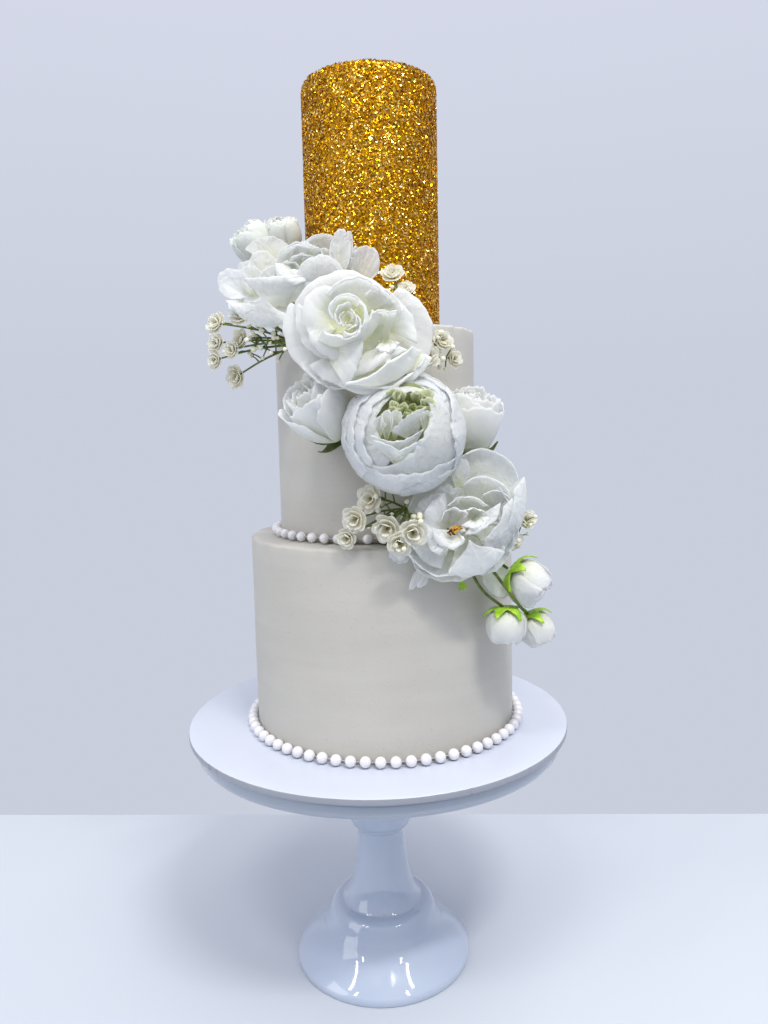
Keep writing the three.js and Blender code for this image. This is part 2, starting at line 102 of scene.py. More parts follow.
class Shader:
    """A material or the world, and short ways to add its procedural nodes."""

    def __init__(self, name, kind="materials", surface="Principled BSDF", **settings):
        self.made = getattr(bpy.data, kind).new(name)
        self.made.use_nodes = True
        self.tree = self.made.node_tree
        self.surface = self.tree.nodes[surface]
        for key, value in settings.items():
            self.surface.inputs[key.replace("_", " ")].default_value = value

    def node(self, kind, inputs=(), **properties):
        made = self.tree.nodes.new("ShaderNode" + kind)
        for key, value in properties.items():
            setattr(made, key, value)
        for key, value in dict(inputs).items():
            if hasattr(value, "is_linked"):
                self.tree.links.new(value, made.inputs[key])
            else:
                made.inputs[key].default_value = value
        return made

    def link(self, output, socket):
        self.tree.links.new(output, self.surface.inputs[socket])

    def place(self):
        return self.node("TexCoord").outputs["Object"]

    def noise(self, scale, detail, rough=0.5, vector=None, squash=None):
        vector = vector or self.place()
        if squash:
            vector = self.node("Mapping", {"Vector": vector, "Scale": squash}).outputs[0]
        inputs = {"Vector": vector, "Scale": scale, "Detail": detail, "Roughness": rough}
        return self.node("TexNoise", inputs).outputs["Fac"]

    def ramp(self, value, *stops):
        made = self.node("ValToRGB", {"Fac": value})
        points = made.color_ramp.elements
        while len(points) < len(stops):
            points.new(0.5)
        for point, (position, colour) in zip(points, stops):
            point.position = position
            point.color = (*colour, 1)
        return made.outputs["Color"]

    def mix(self, factor, a, b, mode="MIX"):
        return self.node("Mix", {0: factor, 6: a, 7: b}, data_type="RGBA", blend_type=mode).outputs[2]

    def bump(self, height, strength, distance, under=None):
        inputs = {"Height": height, "Strength": strength, "Distance": distance}
        if under:
            inputs["Normal"] = under
        return self.node("Bump", inputs).outputs["Normal"]

    def paint(self, scale, detail, dark, light):
        """A base colour that clouds from a dark to a light tone."""
        self.link(self.ramp(self.noise(scale, detail), (0.3, dark), (0.7, light)), "Base Color")


def dim(colour, shade):
    return tuple(shade * part for part in colour)


def make_room():
    """A pale wall behind the cake, and a room behind the camera that is darker low down."""
    s = Shader("studio", "worlds", "Background")
    way = s.node("SeparateXYZ", {0: s.node("TexCoord").outputs["Generated"]}).outputs
    wall = s.ramp(way["Z"], (0.05, (0.585, 0.62, 0.72)), (0.45, (0.66, 0.69, 0.81)))
    room = s.ramp(way["Z"], (0.0, (0.20, 0.22, 0.27)), (0.6, (0.72, 0.75, 0.84)))
    ahead = s.node("MapRange", {"Value": way["Y"], "From Min": -0.35, "From Max": 0.25}).outputs[0]
    s.link(s.mix(ahead, room, wall), "Color")
    bpy.context.scene.world = s.made
    bpy.context.scene.view_settings.view_transform = "Standard"


def buttercream():
    """Smoothed ivory buttercream: faint bands left by the scraper, small pits, a soft sheen."""
    s = Shader("buttercream", Roughness=0.5, Subsurface_Weight=0.12, Subsurface_Scale=0.004,
               Subsurface_Radius=(1.0, 0.8, 0.55))
    bands = s.noise(30, 4, squash=(0.25, 0.25, 3.0))
    tint = s.ramp(s.noise(9, 3), (0.3, (0.515, 0.495, 0.45)), (0.7, (0.575, 0.555, 0.505)))
    streaks = s.ramp(bands, (0.35, (0.43, 0.41, 0.37)), (0.65, (0.62, 0.60, 0.55)))
    s.link(s.mix(0.12, tint, streaks), "Base Color")
    pits = s.ramp(s.noise(420, 1), (0.26, (0, 0, 0)), (0.33, (1, 1, 1)))
    pitted = s.bump(pits, 0.4, 0.0005)
    smeared = s.bump(s.noise(75, 4, 0.6, squash=(1, 1, 0.5)), 0.35, 0.0012, pitted)
    s.link(s.bump(bands, 0.25, 0.0012, smeared), "Normal")
    return s.made


def gold_flakes():
    """Gold that differs from flake to flake, partly own tone and partly painted reflection."""
    s = Shader("gold_flakes", Metallic=1.0, Roughness=0.28)
    chance = s.node("NewGeometry").outputs["Random Per Island"]
    # The spread from dark to bright is partly the flakes' own tone, partly painted reflection: dark for
    # flakes mirroring the dim room, bright for those catching a lamp.
    shadow, deep = (0.20, 0.075, 0.0), (0.66, 0.31, 0.0)
    rich, painted_glint = (0.98, 0.58, 0.01), (1.0, 0.90, 0.42)
    s.link(s.ramp(chance, (0.0, shadow), (0.4, deep), (0.75, rich), (1.0, painted_glint)), "Base Color")
    return s.made


def gold_ground():
    s = Shader("gold_ground", Metallic=0.6, Roughness=0.5)
    s.link(s.ramp(s.noise(500, 2), (0.35, (0.20, 0.085, 0.0)), (0.65, (0.6, 0.28, 0.0))), "Base Color")
    return s.made


def pearl():
    """Bead plastic, lavender white under a clear lustre."""
    s = Shader("pearl", Roughness=0.2, Coat_Weight=1.0, Coat_Roughness=0.04, Sheen_Weight=0.2,
               Sheen_Roughness=0.3, Sheen_Tint=(0.80, 0.76, 1.0, 1))
    s.paint(260, 2, (0.77, 0.76, 0.80), (0.85, 0.83, 0.85))
    return s.made


def thread():
    # The thread is a real thread, coloured dark and brownish so the gaps between beads show as shaded:
    # painted shade.
    s = Shader("pearl_thread_painted_gap_shade", Roughness=0.8)
    s.paint(900, 1, (0.42, 0.38, 0.34), (0.55, 0.50, 0.46))
    return s.made


def glaze(name, shade=1.0):
    """The stand's cool white glaze; `shade` dims its colour for a painted-shade copy."""
    s = Shader(name, Roughness=0.07, Coat_Weight=1.0, Coat_Roughness=0.03)
    s.paint(12, 2, dim((0.45, 0.515, 0.64), shade), dim((0.49, 0.555, 0.68), shade))
    s.link(s.bump(s.noise(60, 1), 0.03, 0.0004), "Normal")
    return s.made


def foil(name, shade=1.0):
    """White satin foil with a fine leathery emboss; `shade` dims its colour for a painted-shade copy."""
    s = Shader(name, Roughness=0.34, Coat_Weight=0.3, Coat_Roughness=0.2)
    s.paint(14, 3, dim((0.575, 0.615, 0.715), shade), dim((0.615, 0.65, 0.74), shade))
    grain = s.node("TexVoronoi", {"Vector": s.place(), "Scale": 700.0}).outputs["Distance"]
    s.link(s.bump(grain, 0.12, 0.0002), "Normal")
    return s.made


def silk(name, outer, inner, through=0.55, crumple=0.0):
    """Thin silk that lets light through: white at a petal's rim, tinted and darkened at its base, finely
    veined.

    `crumple` is how deep its creased facets are, in mm."""
    s = Shader(name, Roughness=0.6, Specular_IOR_Level=0.3)
    rim = s.node("Attribute", attribute_name="rim").outputs["Fac"]
    petal_place = s.node("UVMap").outputs["UV"]
    between = tuple(0.3 * a + 0.7 * b for a, b in zip(inner, outer))
    # The darkest stop, at the foot of petals deep in a flower, is partly the silk's green tint and partly
    # painted shade of the flower's depths.
    deep = (0.56 * inner[0], 0.60 * inner[1], 0.34 * inner[2])
    base = s.ramp(rim, (0.0, deep), (0.16, inner), (0.45, between), (0.8, outer))
    cloud = s.ramp(s.noise(60, 3), (0.3, (0.965, 0.975, 0.985)), (0.7, (1, 1, 1)))
    colour = s.mix(1.0, base, cloud, "MULTIPLY")
    s.link(colour, "Base Color")
    weave = s.bump(s.noise(1500, 1), 0.12, 0.0001)
    crinkles = s.bump(s.noise(150, 4, 0.6), 0.6, 0.0012, weave)
    veins = s.noise(22, 3, vector=petal_place, squash=(1.0, 0.12, 1.0))
    relief = s.bump(veins, 0.3, 0.0008, crinkles)
    if crumple:
        drift = s.node("TexNoise", {"Vector": s.place(), "Scale": 60.0}).outputs["Color"]
        bent = s.mix(0.03, s.place(), drift)
        facets = s.node("TexVoronoi", {"Vector": bent, "Scale": 105.0}, feature="DISTANCE_TO_EDGE")
        relief = s.bump(facets.outputs["Distance"], 0.8, crumple * MM, relief)
    s.link(relief, "Normal")
    glow = s.node("BsdfTranslucent", {"Color": colour, "Normal": relief})
    blend = s.node("MixShader", {0: through, 1: s.surface.outputs[0], 2: glow.outputs[0]})
    s.tree.links.new(blend.outputs[0], s.tree.nodes["Material Output"].inputs["Surface"])
    return s.made


def green(name, dark, light):
    """Stems, sepals and other small solid parts of a silk flower."""
    s = Shader(name, Roughness=0.5, Subsurface_Weight=0.1, Subsurface_Scale=0.002)
    s.paint(220, 3, dark, light)
    s.link(s.bump(s.noise(700, 2), 0.3, 0.0002), "Normal")
    return s.made


def floor_paint():
    s = Shader("floor_paint", Roughness=0.6)
    s.paint(2.5, 2, (0.57, 0.605, 0.66), (0.60, 0.635, 0.685))
    return s.made


SILKS = {
    "silk_white": ((0.985, 0.985, 0.975), (0.95, 0.965, 0.72)),
    "silk_crumpled": ((0.975, 0.98, 0.98), (0.95, 0.965, 0.76), 0.6, 2.3),
    "silk_green": ((0.97, 0.98, 0.95), (0.90, 0.95, 0.74)),
    "silk_cream": ((0.99, 0.98, 0.92), (0.95, 0.88, 0.66)),
}
GREENS = {
    "calyx_lime": ((0.22, 0.46, 0.01), (0.46, 0.70, 0.05)),
    "stem_green": ((0.05, 0.09, 0.008), (0.16, 0.20, 0.03)),
    "stamen_ochre": ((0.62, 0.26, 0.01), (0.88, 0.50, 0.04)),
    "anther_brown": ((0.02, 0.012, 0.006), (0.10, 0.05, 0.015)),
    "pip_cream": ((0.74, 0.72, 0.52), (0.90, 0.88, 0.74)),
}


def make_finishes():
    finishes = {make.__name__: make() for make in (buttercream, gold_flakes, gold_ground, pearl, thread)}
    for make, looks in ((silk, SILKS), (green, GREENS)):
        finishes.update((name, make(name, *look)) for name, look in looks.items())
    return finishes


# Mesh building


class Cloth:
    """Gathers sheets and solids into one mesh; points have a rim value and a UV, faces a slot."""

    def __init__(self):
        self.points, self.faces, self.slots, self.rims, self.uvs = [], [], [], [], []
        self.count = 0

    def cover(self, start, faces, slot=0):
        """Faces over the points from `start` on."""
        self.faces.append(np.asarray(faces, int) + start)
        self.slots.append(np.full(len(faces), slot))

    def add(self, points, faces, slot=0, rim=None, uv=None):
        points = np.asarray(points, float).reshape(-1, 3)
        self.points.append(points)
        self.cover(self.count, faces, slot)
        self.rims.append(np.zeros(len(points)) if rim is None else rim.ravel())
        self.uvs.append(np.zeros((len(points), 2)) if uv is None else uv.reshape(-1, 2))
        self.count += len(points)

    def take(self, part):
        """Adds all that another cloth has gathered."""
        self.faces += [faces + self.count for faces in part.faces]
        self.points += part.points
        self.slots += part.slots
        self.rims += part.rims
        self.uvs += part.uvs
        self.count += part.count

    def move(self, matrix):
        turn = np.array(matrix)
        self.points = [points @ turn[:3, :3].T + turn[:3, 3] for points in self.points]

    def build(self, name, materials, smooth=True):
        mesh = bpy.data.meshes.new(name)
        faces = [face for block in self.faces for face in block.tolist()]
        mesh.from_pydata(np.concatenate(self.points), [], faces)
        mesh.polygons.foreach_set("material_index", np.concatenate(self.slots))
        mesh.polygons.foreach_set("use_smooth", np.full(len(faces), smooth))
        rim = mesh.attributes.new("rim", "FLOAT", "POINT")
        rim.data.foreach_set("value", np.concatenate(self.rims))
        corners = np.concatenate([block.ravel() for block in self.faces])
        layer = mesh.uv_layers.new(name="petal")
        layer.data.foreach_set("uv", np.concatenate(self.uvs)[corners].ravel())
        mesh.validate()
        for material in materials:
            mesh.materials.append(material)
        piece = bpy.data.objects.new(name, mesh)
        bpy.context.scene.collection.objects.link(piece)
        return piece


def show(piece, slot, *nodes):
    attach(piece, "root")
    if nodes:
        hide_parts(*nodes)


def node_axis(name):
    """Where a turned node's axis is, its radius, and its lowest and highest point."""
    low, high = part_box(name)
    return (low[0] + high[0]) / 2, (high[0] - low[0]) / 2, low[2], high[2]


def unit(vectors):
    return vectors / (np.linalg.norm(vectors, axis=-1, keepdims=True) + 1e-12)


def round_turn(count):
    """Evenly spaced angles, once round."""
    return TAU * np.arange(count) / count


def grid_faces(rows, columns, closed=False):
    """Quads over rows and columns of points; `closed` joins the last column to the first."""
    last = columns if closed else columns - 1
    row, column = np.meshgrid(np.arange(rows - 1), np.arange(last), indexing="ij")
    a = row * columns + column
    b = row * columns + (column + 1) % columns
    return np.stack([a, b, b + columns, a + columns], -1).reshape(-1, 4)


def bezier(control, t):
    t = np.asarray(t)[..., None]
    a, b, c, d = (np.array(point, float) for point in control)
    return (1 - t) ** 3 * a + 3 * (1 - t) ** 2 * t * b + 3 * (1 - t) * t ** 2 * c + t ** 3 * d


def smooth(points, count):
    """Points or whole curves, evenly spread along the smooth way through those given."""
    points = np.array(points, float)
    knots = np.concatenate([2 * points[:1] - points[1:2], points, 2 * points[-1:] - points[-2:-1]])
    spans = len(points) - 1
    t = np.linspace(0, spans, count)
    i = np.minimum(t.astype(int), spans - 1)
    f = (t - i).reshape(-1, *[1] * (points.ndim - 1))
    a, b, c, d = knots[i], knots[i + 1], knots[i + 2], knots[i + 3]
    bend = 2 * a - 5 * b + 4 * c - d
    twist = 3 * b - a - 3 * c + d
    return 0.5 * (2 * b + (c - a) * f + bend * f ** 2 + twist * f ** 3)


def curve(count, *control):
    """Points evenly along a Bezier curve."""
    return bezier(control, np.linspace(0, 1, count))


def add_lathe(cloth, profile, sides, centre=(0, 0), slot=0, shape=None):
    """A closed turned solid, from the axis at its bottom to the axis at its top.

    `shape` may move its points first."""
    profile = np.array(profile, float)
    inner = profile[1:-1]
    turn = round_turn(sides)
    points = np.empty((len(inner), sides, 3))
    points[..., :2] = inner[:, None, :1] * np.stack([np.cos(turn), np.sin(turn)], -1)
    points[..., 2] = inner[:, None, 1]
    poles = [[0, 0, profile[0, 1]], [0, 0, profile[-1, 1]]]
    points = np.concatenate([points.reshape(-1, 3), poles]) + (*centre, 0)
    if shape:
        points = shape(points)
    start = cloth.count
    cloth.add(points, grid_faces(len(inner), sides, closed=True), slot)
    i = np.arange(sides)
    onward = (i + 1) % sides
    last = (len(inner) - 1) * sides
    bottom = np.stack([onward, i, np.full(sides, len(points) - 2)], -1)
    top = np.stack([last + i, last + onward, np.full(sides, len(points) - 1)], -1)
    cloth.cover(start, np.concatenate([bottom, top]), slot)


def add_ball(cloth, centre, radius, slot=0, sides=10, rows=6):
    profile = [(radius * math.sin(a), -radius * math.cos(a)) for a in np.linspace(0, math.pi, rows + 1)]
    add_lathe(cloth, profile, sides, slot=slot, shape=lambda points: points + centre)


def tube(cloth, route, radii, sides=8, steps=24, slot=0):
    """A round stem along the smooth way through the route, from one radius to the other."""
    askew = (0.31, 0.17, 0.93)  # a direction that no stem takes
    path = smooth(route, steps + 1)
    ahead = unit(np.gradient(path, axis=0))
    side = unit(np.cross(ahead, askew))
    other = np.cross(ahead, side)
    thick = np.linspace(*radii, steps + 1)[:, None, None]
    turn = round_turn(sides)[None, :, None]
    ring = side[:, None] * np.cos(turn) + other[:, None] * np.sin(turn)
    start = cloth.count
    cloth.add(path[:, None] + thick * ring, grid_faces(steps + 1, sides, closed=True), slot)
    cloth.cover(start, [np.arange(sides)[::-1], steps * sides + np.arange(sides)], slot)
    return path


# Petals

SILK, LIME, STEM, STAMEN, ANTHER = range(5)  # a flower's material slots
# Kinds of petal. All but the last are two middle control points, as shares of the petal's way:
# sideways and forward, twice.
CUP, FLARE, FLAT = (0.75, 0.05, 1.08, 0.55), (0.15, 0.65, 0.60, 1.15), (0.33, 0.33, 0.67, 0.67)
GLOBE = "globe"


def waves(draw, u, v, fine):
    """A smooth random field over a petal, from a few sine waves."""
    field = np.zeros_like(u)
    for _ in range(7):
        along, across = draw.uniform(0.4, 1.0) * fine, draw.uniform(0.3, 1.0) * fine
        field += np.sin(along * u + across * v + draw.uniform(0, TAU)) * draw.uniform(0.4, 1.0)
    return field / 4


def fray(draw, u, v, ragged):
    """A ragged rim, from three fine waves that die out behind it."""
    return ragged * sum(np.sin(k * u + draw.uniform(0, TAU)) for k in (7, 13, 23)) * v ** 6


def petal_grid(across, along):
    """Where each point is: -1 to 1 across the petal, and 0 to 1 from its foot to its rim."""
    return np.meshgrid(np.linspace(-1, 1, across), np.linspace(0, 1, along))


def fade(shade, v):
    """The rim value over a petal, from its foot's shade to its rim's."""
    return shade[0] + (shade[1] - shade[0]) * v ** 1.2


def add_sheet(cloth, sheet, thick, slot, rim, uv, scale=1.0):
    """A thin closed shell round a grid of points; `scale` brings it into metres."""
    rows, columns = sheet.shape[:2]
    count = rows * columns
    normal = unit(np.cross(np.gradient(sheet, axis=1), np.gradient(sheet, axis=0)))
    middle, offset = sheet * scale, normal * (thick * scale) / 2
    both = np.stack([middle + offset, middle - offset])
    faces = grid_faces(rows, columns)
    index = np.arange(count).reshape(rows, columns)
    loop = np.concatenate([index[0, :-1], index[:-1, -1], index[-1, :0:-1], index[:0:-1, 0]])
    onward = np.roll(loop, -1)
    border = np.stack([onward, loop, loop + count, onward + count], -1)
    quads = np.concatenate([faces, faces[:, ::-1] + count, border])
    cloth.add(both, quads, slot, np.stack([rim, rim]), np.stack([uv, uv]))


def petal(cloth, draw, size, azimuth, spine, width, wrap, taper=0.2, point=0.0, ruffle=0.0, ripples=4,
          lean=0.0, crease=0.012, curl=0.0, ragged=0.01, slot=SILK, across=24, along=22, thick=0.0003,
          shade=(0.0, 1.0)):
    """A petal of a bud. Its spine runs from the bud's base (r, z) to its tip in units of the bud's
    radius; the sheet spreads to both sides and wraps round the axis at radius `wrap`."""
    narrow = 0.28  # the foot's width, of the whole
    u, v = petal_grid(across, along)
    edge = fray(draw, u, v, ragged)
    reach = v * (1 - taper * np.abs(u) ** 2.4 - point * np.abs(u) ** 0.9) + edge
    r, z = np.moveaxis(bezier(spine, reach), -1, 0)
    half = width * (narrow + (1 - narrow) * np.sin(TAU / 4 * np.minimum(1, v * 1.7)))
    turn = u * half / wrap
    wave = ruffle * v ** 2 * np.sin(ripples * u + draw.uniform(0, TAU)) + lean * u * v
    wave = wave + crease * waves(draw, 2 * u, 2 * v, 4.5) * (0.25 + v) + curl * np.abs(u) ** 3 * v ** 2
    radial = r - wrap * (1 - np.cos(turn)) + wave
    side = wrap * np.sin(turn)
    c, s = math.cos(math.radians(azimuth)), math.sin(math.radians(azimuth))
    sheet = np.stack([radial * c - side * s, radial * s + side * c, z + 0.6 * wave], -1) * size
    add_sheet(cloth, sheet, thick, slot, fade(shade, v), np.stack([u * width, v], -1))


def petal_ring(cloth, draw, size, count, start, spine, **options):
    """Petals round a bud's axis, each a little different from the next."""
    stray, wider, taller = 0.25, 0.06, 0.04
    for i in range(count):
        azimuth = 360 * (i + start + stray * draw.uniform(-0.5, 0.5)) / count
        stretch = 1 + wider * draw.uniform(-1, 1)
        own = [(r * stretch, z * (1 + taller * draw.uniform(-1, 1))) for r, z in spine]
        petal(cloth, draw, size, azimuth, own, **options)


def rolled_rim(draw, sheet, hub, roll):
    """Four more rows of points that curl a sheet's rim back, away from its hub."""
    ahead = unit(sheet[-1] - sheet[-2])
    away = unit((sheet[-1] - (*hub, 0)) * (1, 1, 0)) - (0, 0, 0.7)
    away = unit(away - ahead * (away * ahead).sum(-1, keepdims=True))
    turn = np.radians((40, 80, 120, 160))[:, None, None]
    u = np.linspace(-1, 1, len(ahead))[:, None]
    swell = roll * (1 + 0.3 * np.sin(5 * u + draw.uniform(0, TAU)))
    return sheet[-1] + swell * (ahead * np.sin(turn) + away * (1 - np.cos(turn)))


def finish_petal(cloth, draw, sheet, hub, crease=0.6, ruffle=0.7, ragged=0.5, pleat=0.0, fold=0.0,
                 folds=0.0, roll=0.0, shade=(0.15, 1.0), slot=SILK):
    """Creases, ruffles and rolls a sheet, all in mm, and adds it to the cloth."""
    thick, vein_width = 0.25, 45
    along, across = sheet.shape[:2]
    u, v = petal_grid(across, along)
    forward = unit(np.gradient(sheet, axis=0))
    normal = unit(np.cross(np.gradient(sheet, axis=1), forward))
    wave = crease * (waves(draw, 2 * u, 2 * v, 4.5) + 0.35 * waves(draw, 5 * u, 3 * v, 5.5)) * (0.2 + v)
    wave += pleat * v * np.sin(19 * u + 1.5 * np.sin(3 * u))
    wave += ruffle * waves(draw, 2.6 * u, 0.7 * v, 4.5) * v ** 2
    wave += fold * np.abs(u) * v
    wave += folds * waves(draw, 1.3 * u, 7 * v, 4.5) * np.minimum(1, 3 * v - 1.2).clip(0)
    edge = fray(draw, u, v, ragged) / 2
    sheet = sheet + normal * wave[..., None] + forward * edge[..., None]
    rim = sheet[-1]
    shading = fade(shade, v)
    if roll:
        lip = rolled_rim(draw, sheet, hub, roll)
        sheet = np.concatenate([sheet, lip])
        shading = np.concatenate([shading, np.full(lip.shape[:2], shade[1])])
    place = np.cumsum(np.linalg.norm(np.diff(rim, axis=0, prepend=rim[:1]), axis=1)) / vein_width
    uv = np.stack(np.meshgrid(place, np.linspace(0, 1, len(sheet))), -1)
    add_sheet(cloth, sheet, thick, slot, shading, uv, MM)


def arc(hub, way, spread, reach, depth, count, wings=0.0, skew=0.0, drop=0.0, tilt=0.0):
    """Points round a hub, seen from a flower's front: `wings` and `drop` move both ends out and
    forward of the middle, `skew` and `tilt` move one end out and forward and the other back."""
    t = np.linspace(-1, 1, count)
    angle = np.radians(way + spread * t)
    far = reach + skew * t + wings * t ** 2
    forward = depth + tilt * t + drop * t ** 2
    return np.stack([hub[0] + far * np.cos(angle), hub[1] + far * np.sin(angle), forward], -1)


def on_globe(edge, radius, t):
    """A sheet on a ball, from its back to the edge; an edge's depth is its layer of the ball."""
    back, widest = 2.3, 0.995  # where a sheet starts, in radians, and how far out it may end
    turn = np.unwrap(np.arctan2(edge[:, 1], edge[:, 0]))
    end = np.arcsin(np.minimum(np.hypot(*edge.T[:2]) / radius, widest))
    tip = back + (end - back) * t
    layer = radius * edge[:, 2]
    out = layer * np.sin(tip)
    return np.stack([out * np.cos(turn), out * np.sin(turn), layer * np.cos(tip)], -1)


def placed_petal(cloth, draw, radius, kind, hub, foot, way, spread, rim, neck=2.0, belly=None,
                 wings=0.0, skew=0.0, drop=0.0, tilt=0.0, across=36, along=26, **finish):
    """A petal from its foot, an arc of radius `neck`, to its rim, an arc of (reach, depth).

    It bends as its kind says, or bulges through the arc `belly` of (reach, depth, wings, skew). A
    globe petal lies on a ball of the flower's radius, and its rim's depth is its layer instead."""
    edge = arc(hub, way, spread, *rim, across, wings, skew, drop, tilt)
    start = arc(hub, way, spread, neck, foot, across)
    t = np.linspace(0, 1, along)[:, None]
    if kind == GLOBE:
        sheet = on_globe(edge, radius, t)
    elif belly:
        reach, depth, *bulge = belly
        sheet = smooth([start, arc(hub, way, spread, reach, depth, across, *bulge), edge], along)
    else:
        a, b, c, d = kind
        step = edge - start
        sheet = bezier((start, start + step * (a, a, b), start + step * (c, c, d), edge), t)
    finish_petal(cloth, draw, sheet, hub, **finish)


# A flower's petals are written down one by one, back to front, in mm and degrees as seen from its
# front: hub (right, up), depth of the foot, direction, half the spread, rim (reach, depth), details.


def petals_of(kind):
    return lambda *place, **details: (kind, *place, details)


def globe(way, spread, reach, layer, **details):
    """A petal on a ball whose radius is `layer` times the flower's."""
    return GLOBE, (0, 0), 0, way, spread, (reach, layer), details


cup, flare, flat = petals_of(CUP), petals_of(FLARE), petals_of(FLAT)

# A row's shade gives the rim value at its foot and at its rim; low values, for petals deep in a flower, take
# the silk's tint and, lowest, its painted shade.
ROSE_FRONT = (
    flare((14, -2), 2, 0, 45, (41, 30), wings=-3, skew=-9, crease=0.9, roll=0.6),
    flare((0, -1), 5, 97, 80, (29, 38), wings=4, drop=-7, roll=1.1),
    flare((-5, -5), 2, 205, 54, (34, 31), wings=-2, roll=1),
    flat((-1, -14), 5, 247, 40, (30, 37), roll=0.6),
    flare((0, -17), 21, 245, 36, (25, 40), tilt=2, roll=0.8, shade=(0.2, 1)),
    flare((18, -8), 5, 285, 48, (37, 48), belly=(39, 41), drop=-3, roll=1),
    flare((26, -7), 24, 35, 64, (17, 41), wings=5, roll=1.1),
    flare((-9, -4), 16, 212, 66, (20, 37), wings=3, roll=0.9),
    flare((20, -13), 21, 284, 52, (17, 49), wings=9, skew=-5, drop=-4, roll=0.9, shade=(0.3, 1)),
    flare((18, -12), 11, 291, 50, (21, 55), belly=(31, 42), wings=9, skew=-4, drop=-4, roll=1, crease=0.5),
    flat((4, -4), 36, 90, 180, (21, 38), shade=(0.2, 0.4)),
    cup((8, -1), 40, 83, 60, (22, 50), drop=-4, roll=0.8, pleat=0.25, shade=(0.35, 1.05)),
    cup((22, 0), 39, 65, 60, (14, 47), roll=0.7, pleat=0.25, shade=(0.25, 1)),
    flare((0, 0), 35, 172, 62, (25, 44), neck=8, wings=-6, roll=1, shade=(0.3, 1.05)),
    flare((0, -1), 32, 245, 42, (26, 45), neck=13, wings=-3, tilt=-1, roll=0.9, shade=(0.25, 1.05)),
    flat((26, -13), 36, 280, 50, (9, 49), roll=0.8, shade=(0.2, 1)),
    cup((26, -20), 34, 97, 26, (21, 51), roll=0.6, shade=(0.3, 1)),
    flare((-14, -21), 34, 340, 38, (24, 51), neck=6, wings=3, drop=-3, roll=1, shade=(0.3, 1.05)),
    flare((-2, 8), 35, 290, 53, (21, 54), neck=26, belly=(27, 45), drop=-3, roll=0.8, shade=(0.2, 1)),
    flare((3, -2), 42, 331, 76, (10.5, 58), neck=6, belly=(12.5, 53), roll=0.5, shade=(0.1, 1)),
)
PEONY_LEFT = (
    flat((-13, 4), 6, 128, 28, (25, 8), wings=-8, shade=(0.2, 0.8)),
    flat((-8, 1), 8, 105, 33, (31, 10), wings=-12, shade=(0.2, 0.75), crease=0.4),
    flat((-18, -3), 8, 107, 40, (24, 13), wings=-7, shade=(0.3, 0.8)),
    flat((-9, 22), 7, 88, 60, (19, 8), crease=1, shade=(0.2, 0.7)),
    cup((24, 11), 0, 76, 42, (31, 9), wings=-8, drop=-3, roll=0.4),
    flat((43, 6), 6, 84, 9, (38, 9), wings=-21, across=16, fold=1),
    flat((48, 6), 6, 84, 9, (27, 12), wings=-11, across=16),
    flat((50, 1), 6, 71, 31, (33, 13), wings=-13, drop=-2, pleat=0.35, crease=0.3),
    flat((38, 3), 8, 85, 17, (41, 14), wings=-22, across=20, fold=1.5, pleat=0.3),
    cup((20, 11), 2, 53, 30, (23, 13), wings=-5, shade=(0.25, 1)),
    cup((15, 11), 2, 79, 38, (24, 15), wings=-6, shade=(0.25, 1)),
    cup((9, 9), 4, 98, 34, (23, 18), wings=-2, skew=-4, shade=(0.3, 1), roll=0.5),
    cup((15, 10), 6, 92, 42, (17, 19), wings=-3, shade=(0.2, 0.95)),
    cup((17, 13), 8, 67, 40, (13, 17), wings=-3, shade=(0.2, 0.9)),
    cup((5, 12), 8, 95, 60, (10, 20), shade=(0.2, 0.9)),
    flare((10, 18), 10, 240, 68, (13, 28), drop=-3, shade=(0.3, 1), crease=0.5),
    flat((2, -2), 5, 80, 75, (24, 14), crease=1, shade=(0.5, 1)),
    flare((2, -4), 6, 45, 50, (22, 23), wings=-3, shade=(0.35, 1)),
    flare((27, -10), 6, 88, 44, (34, 27), neck=8, wings=-9, drop=-4, crease=0.35, shade=(0.5, 1.05)),
    flare((-3, -14), 6, 92, 40, (24, 30), neck=8, wings=8, drop=-6, crease=0.35, shade=(0.5, 1.05)),
    flare((-20, 0), 10, 148, 46, (26, 17), wings=-15, drop=4, crease=0.5, ragged=0.6, shade=(0.4, 1.05)),
    flat((-12, -12), 10, 166, 22, (24, 21), tilt=3, shade=(0.3, 1.05)),
    flare((-10, -1), 6, 257, 70, (-2, 37), neck=6, belly=(21, 26, 4), wings=28, drop=-12, crease=0.35,
          ragged=0.3, shade=(0.5, 1.05)),
)
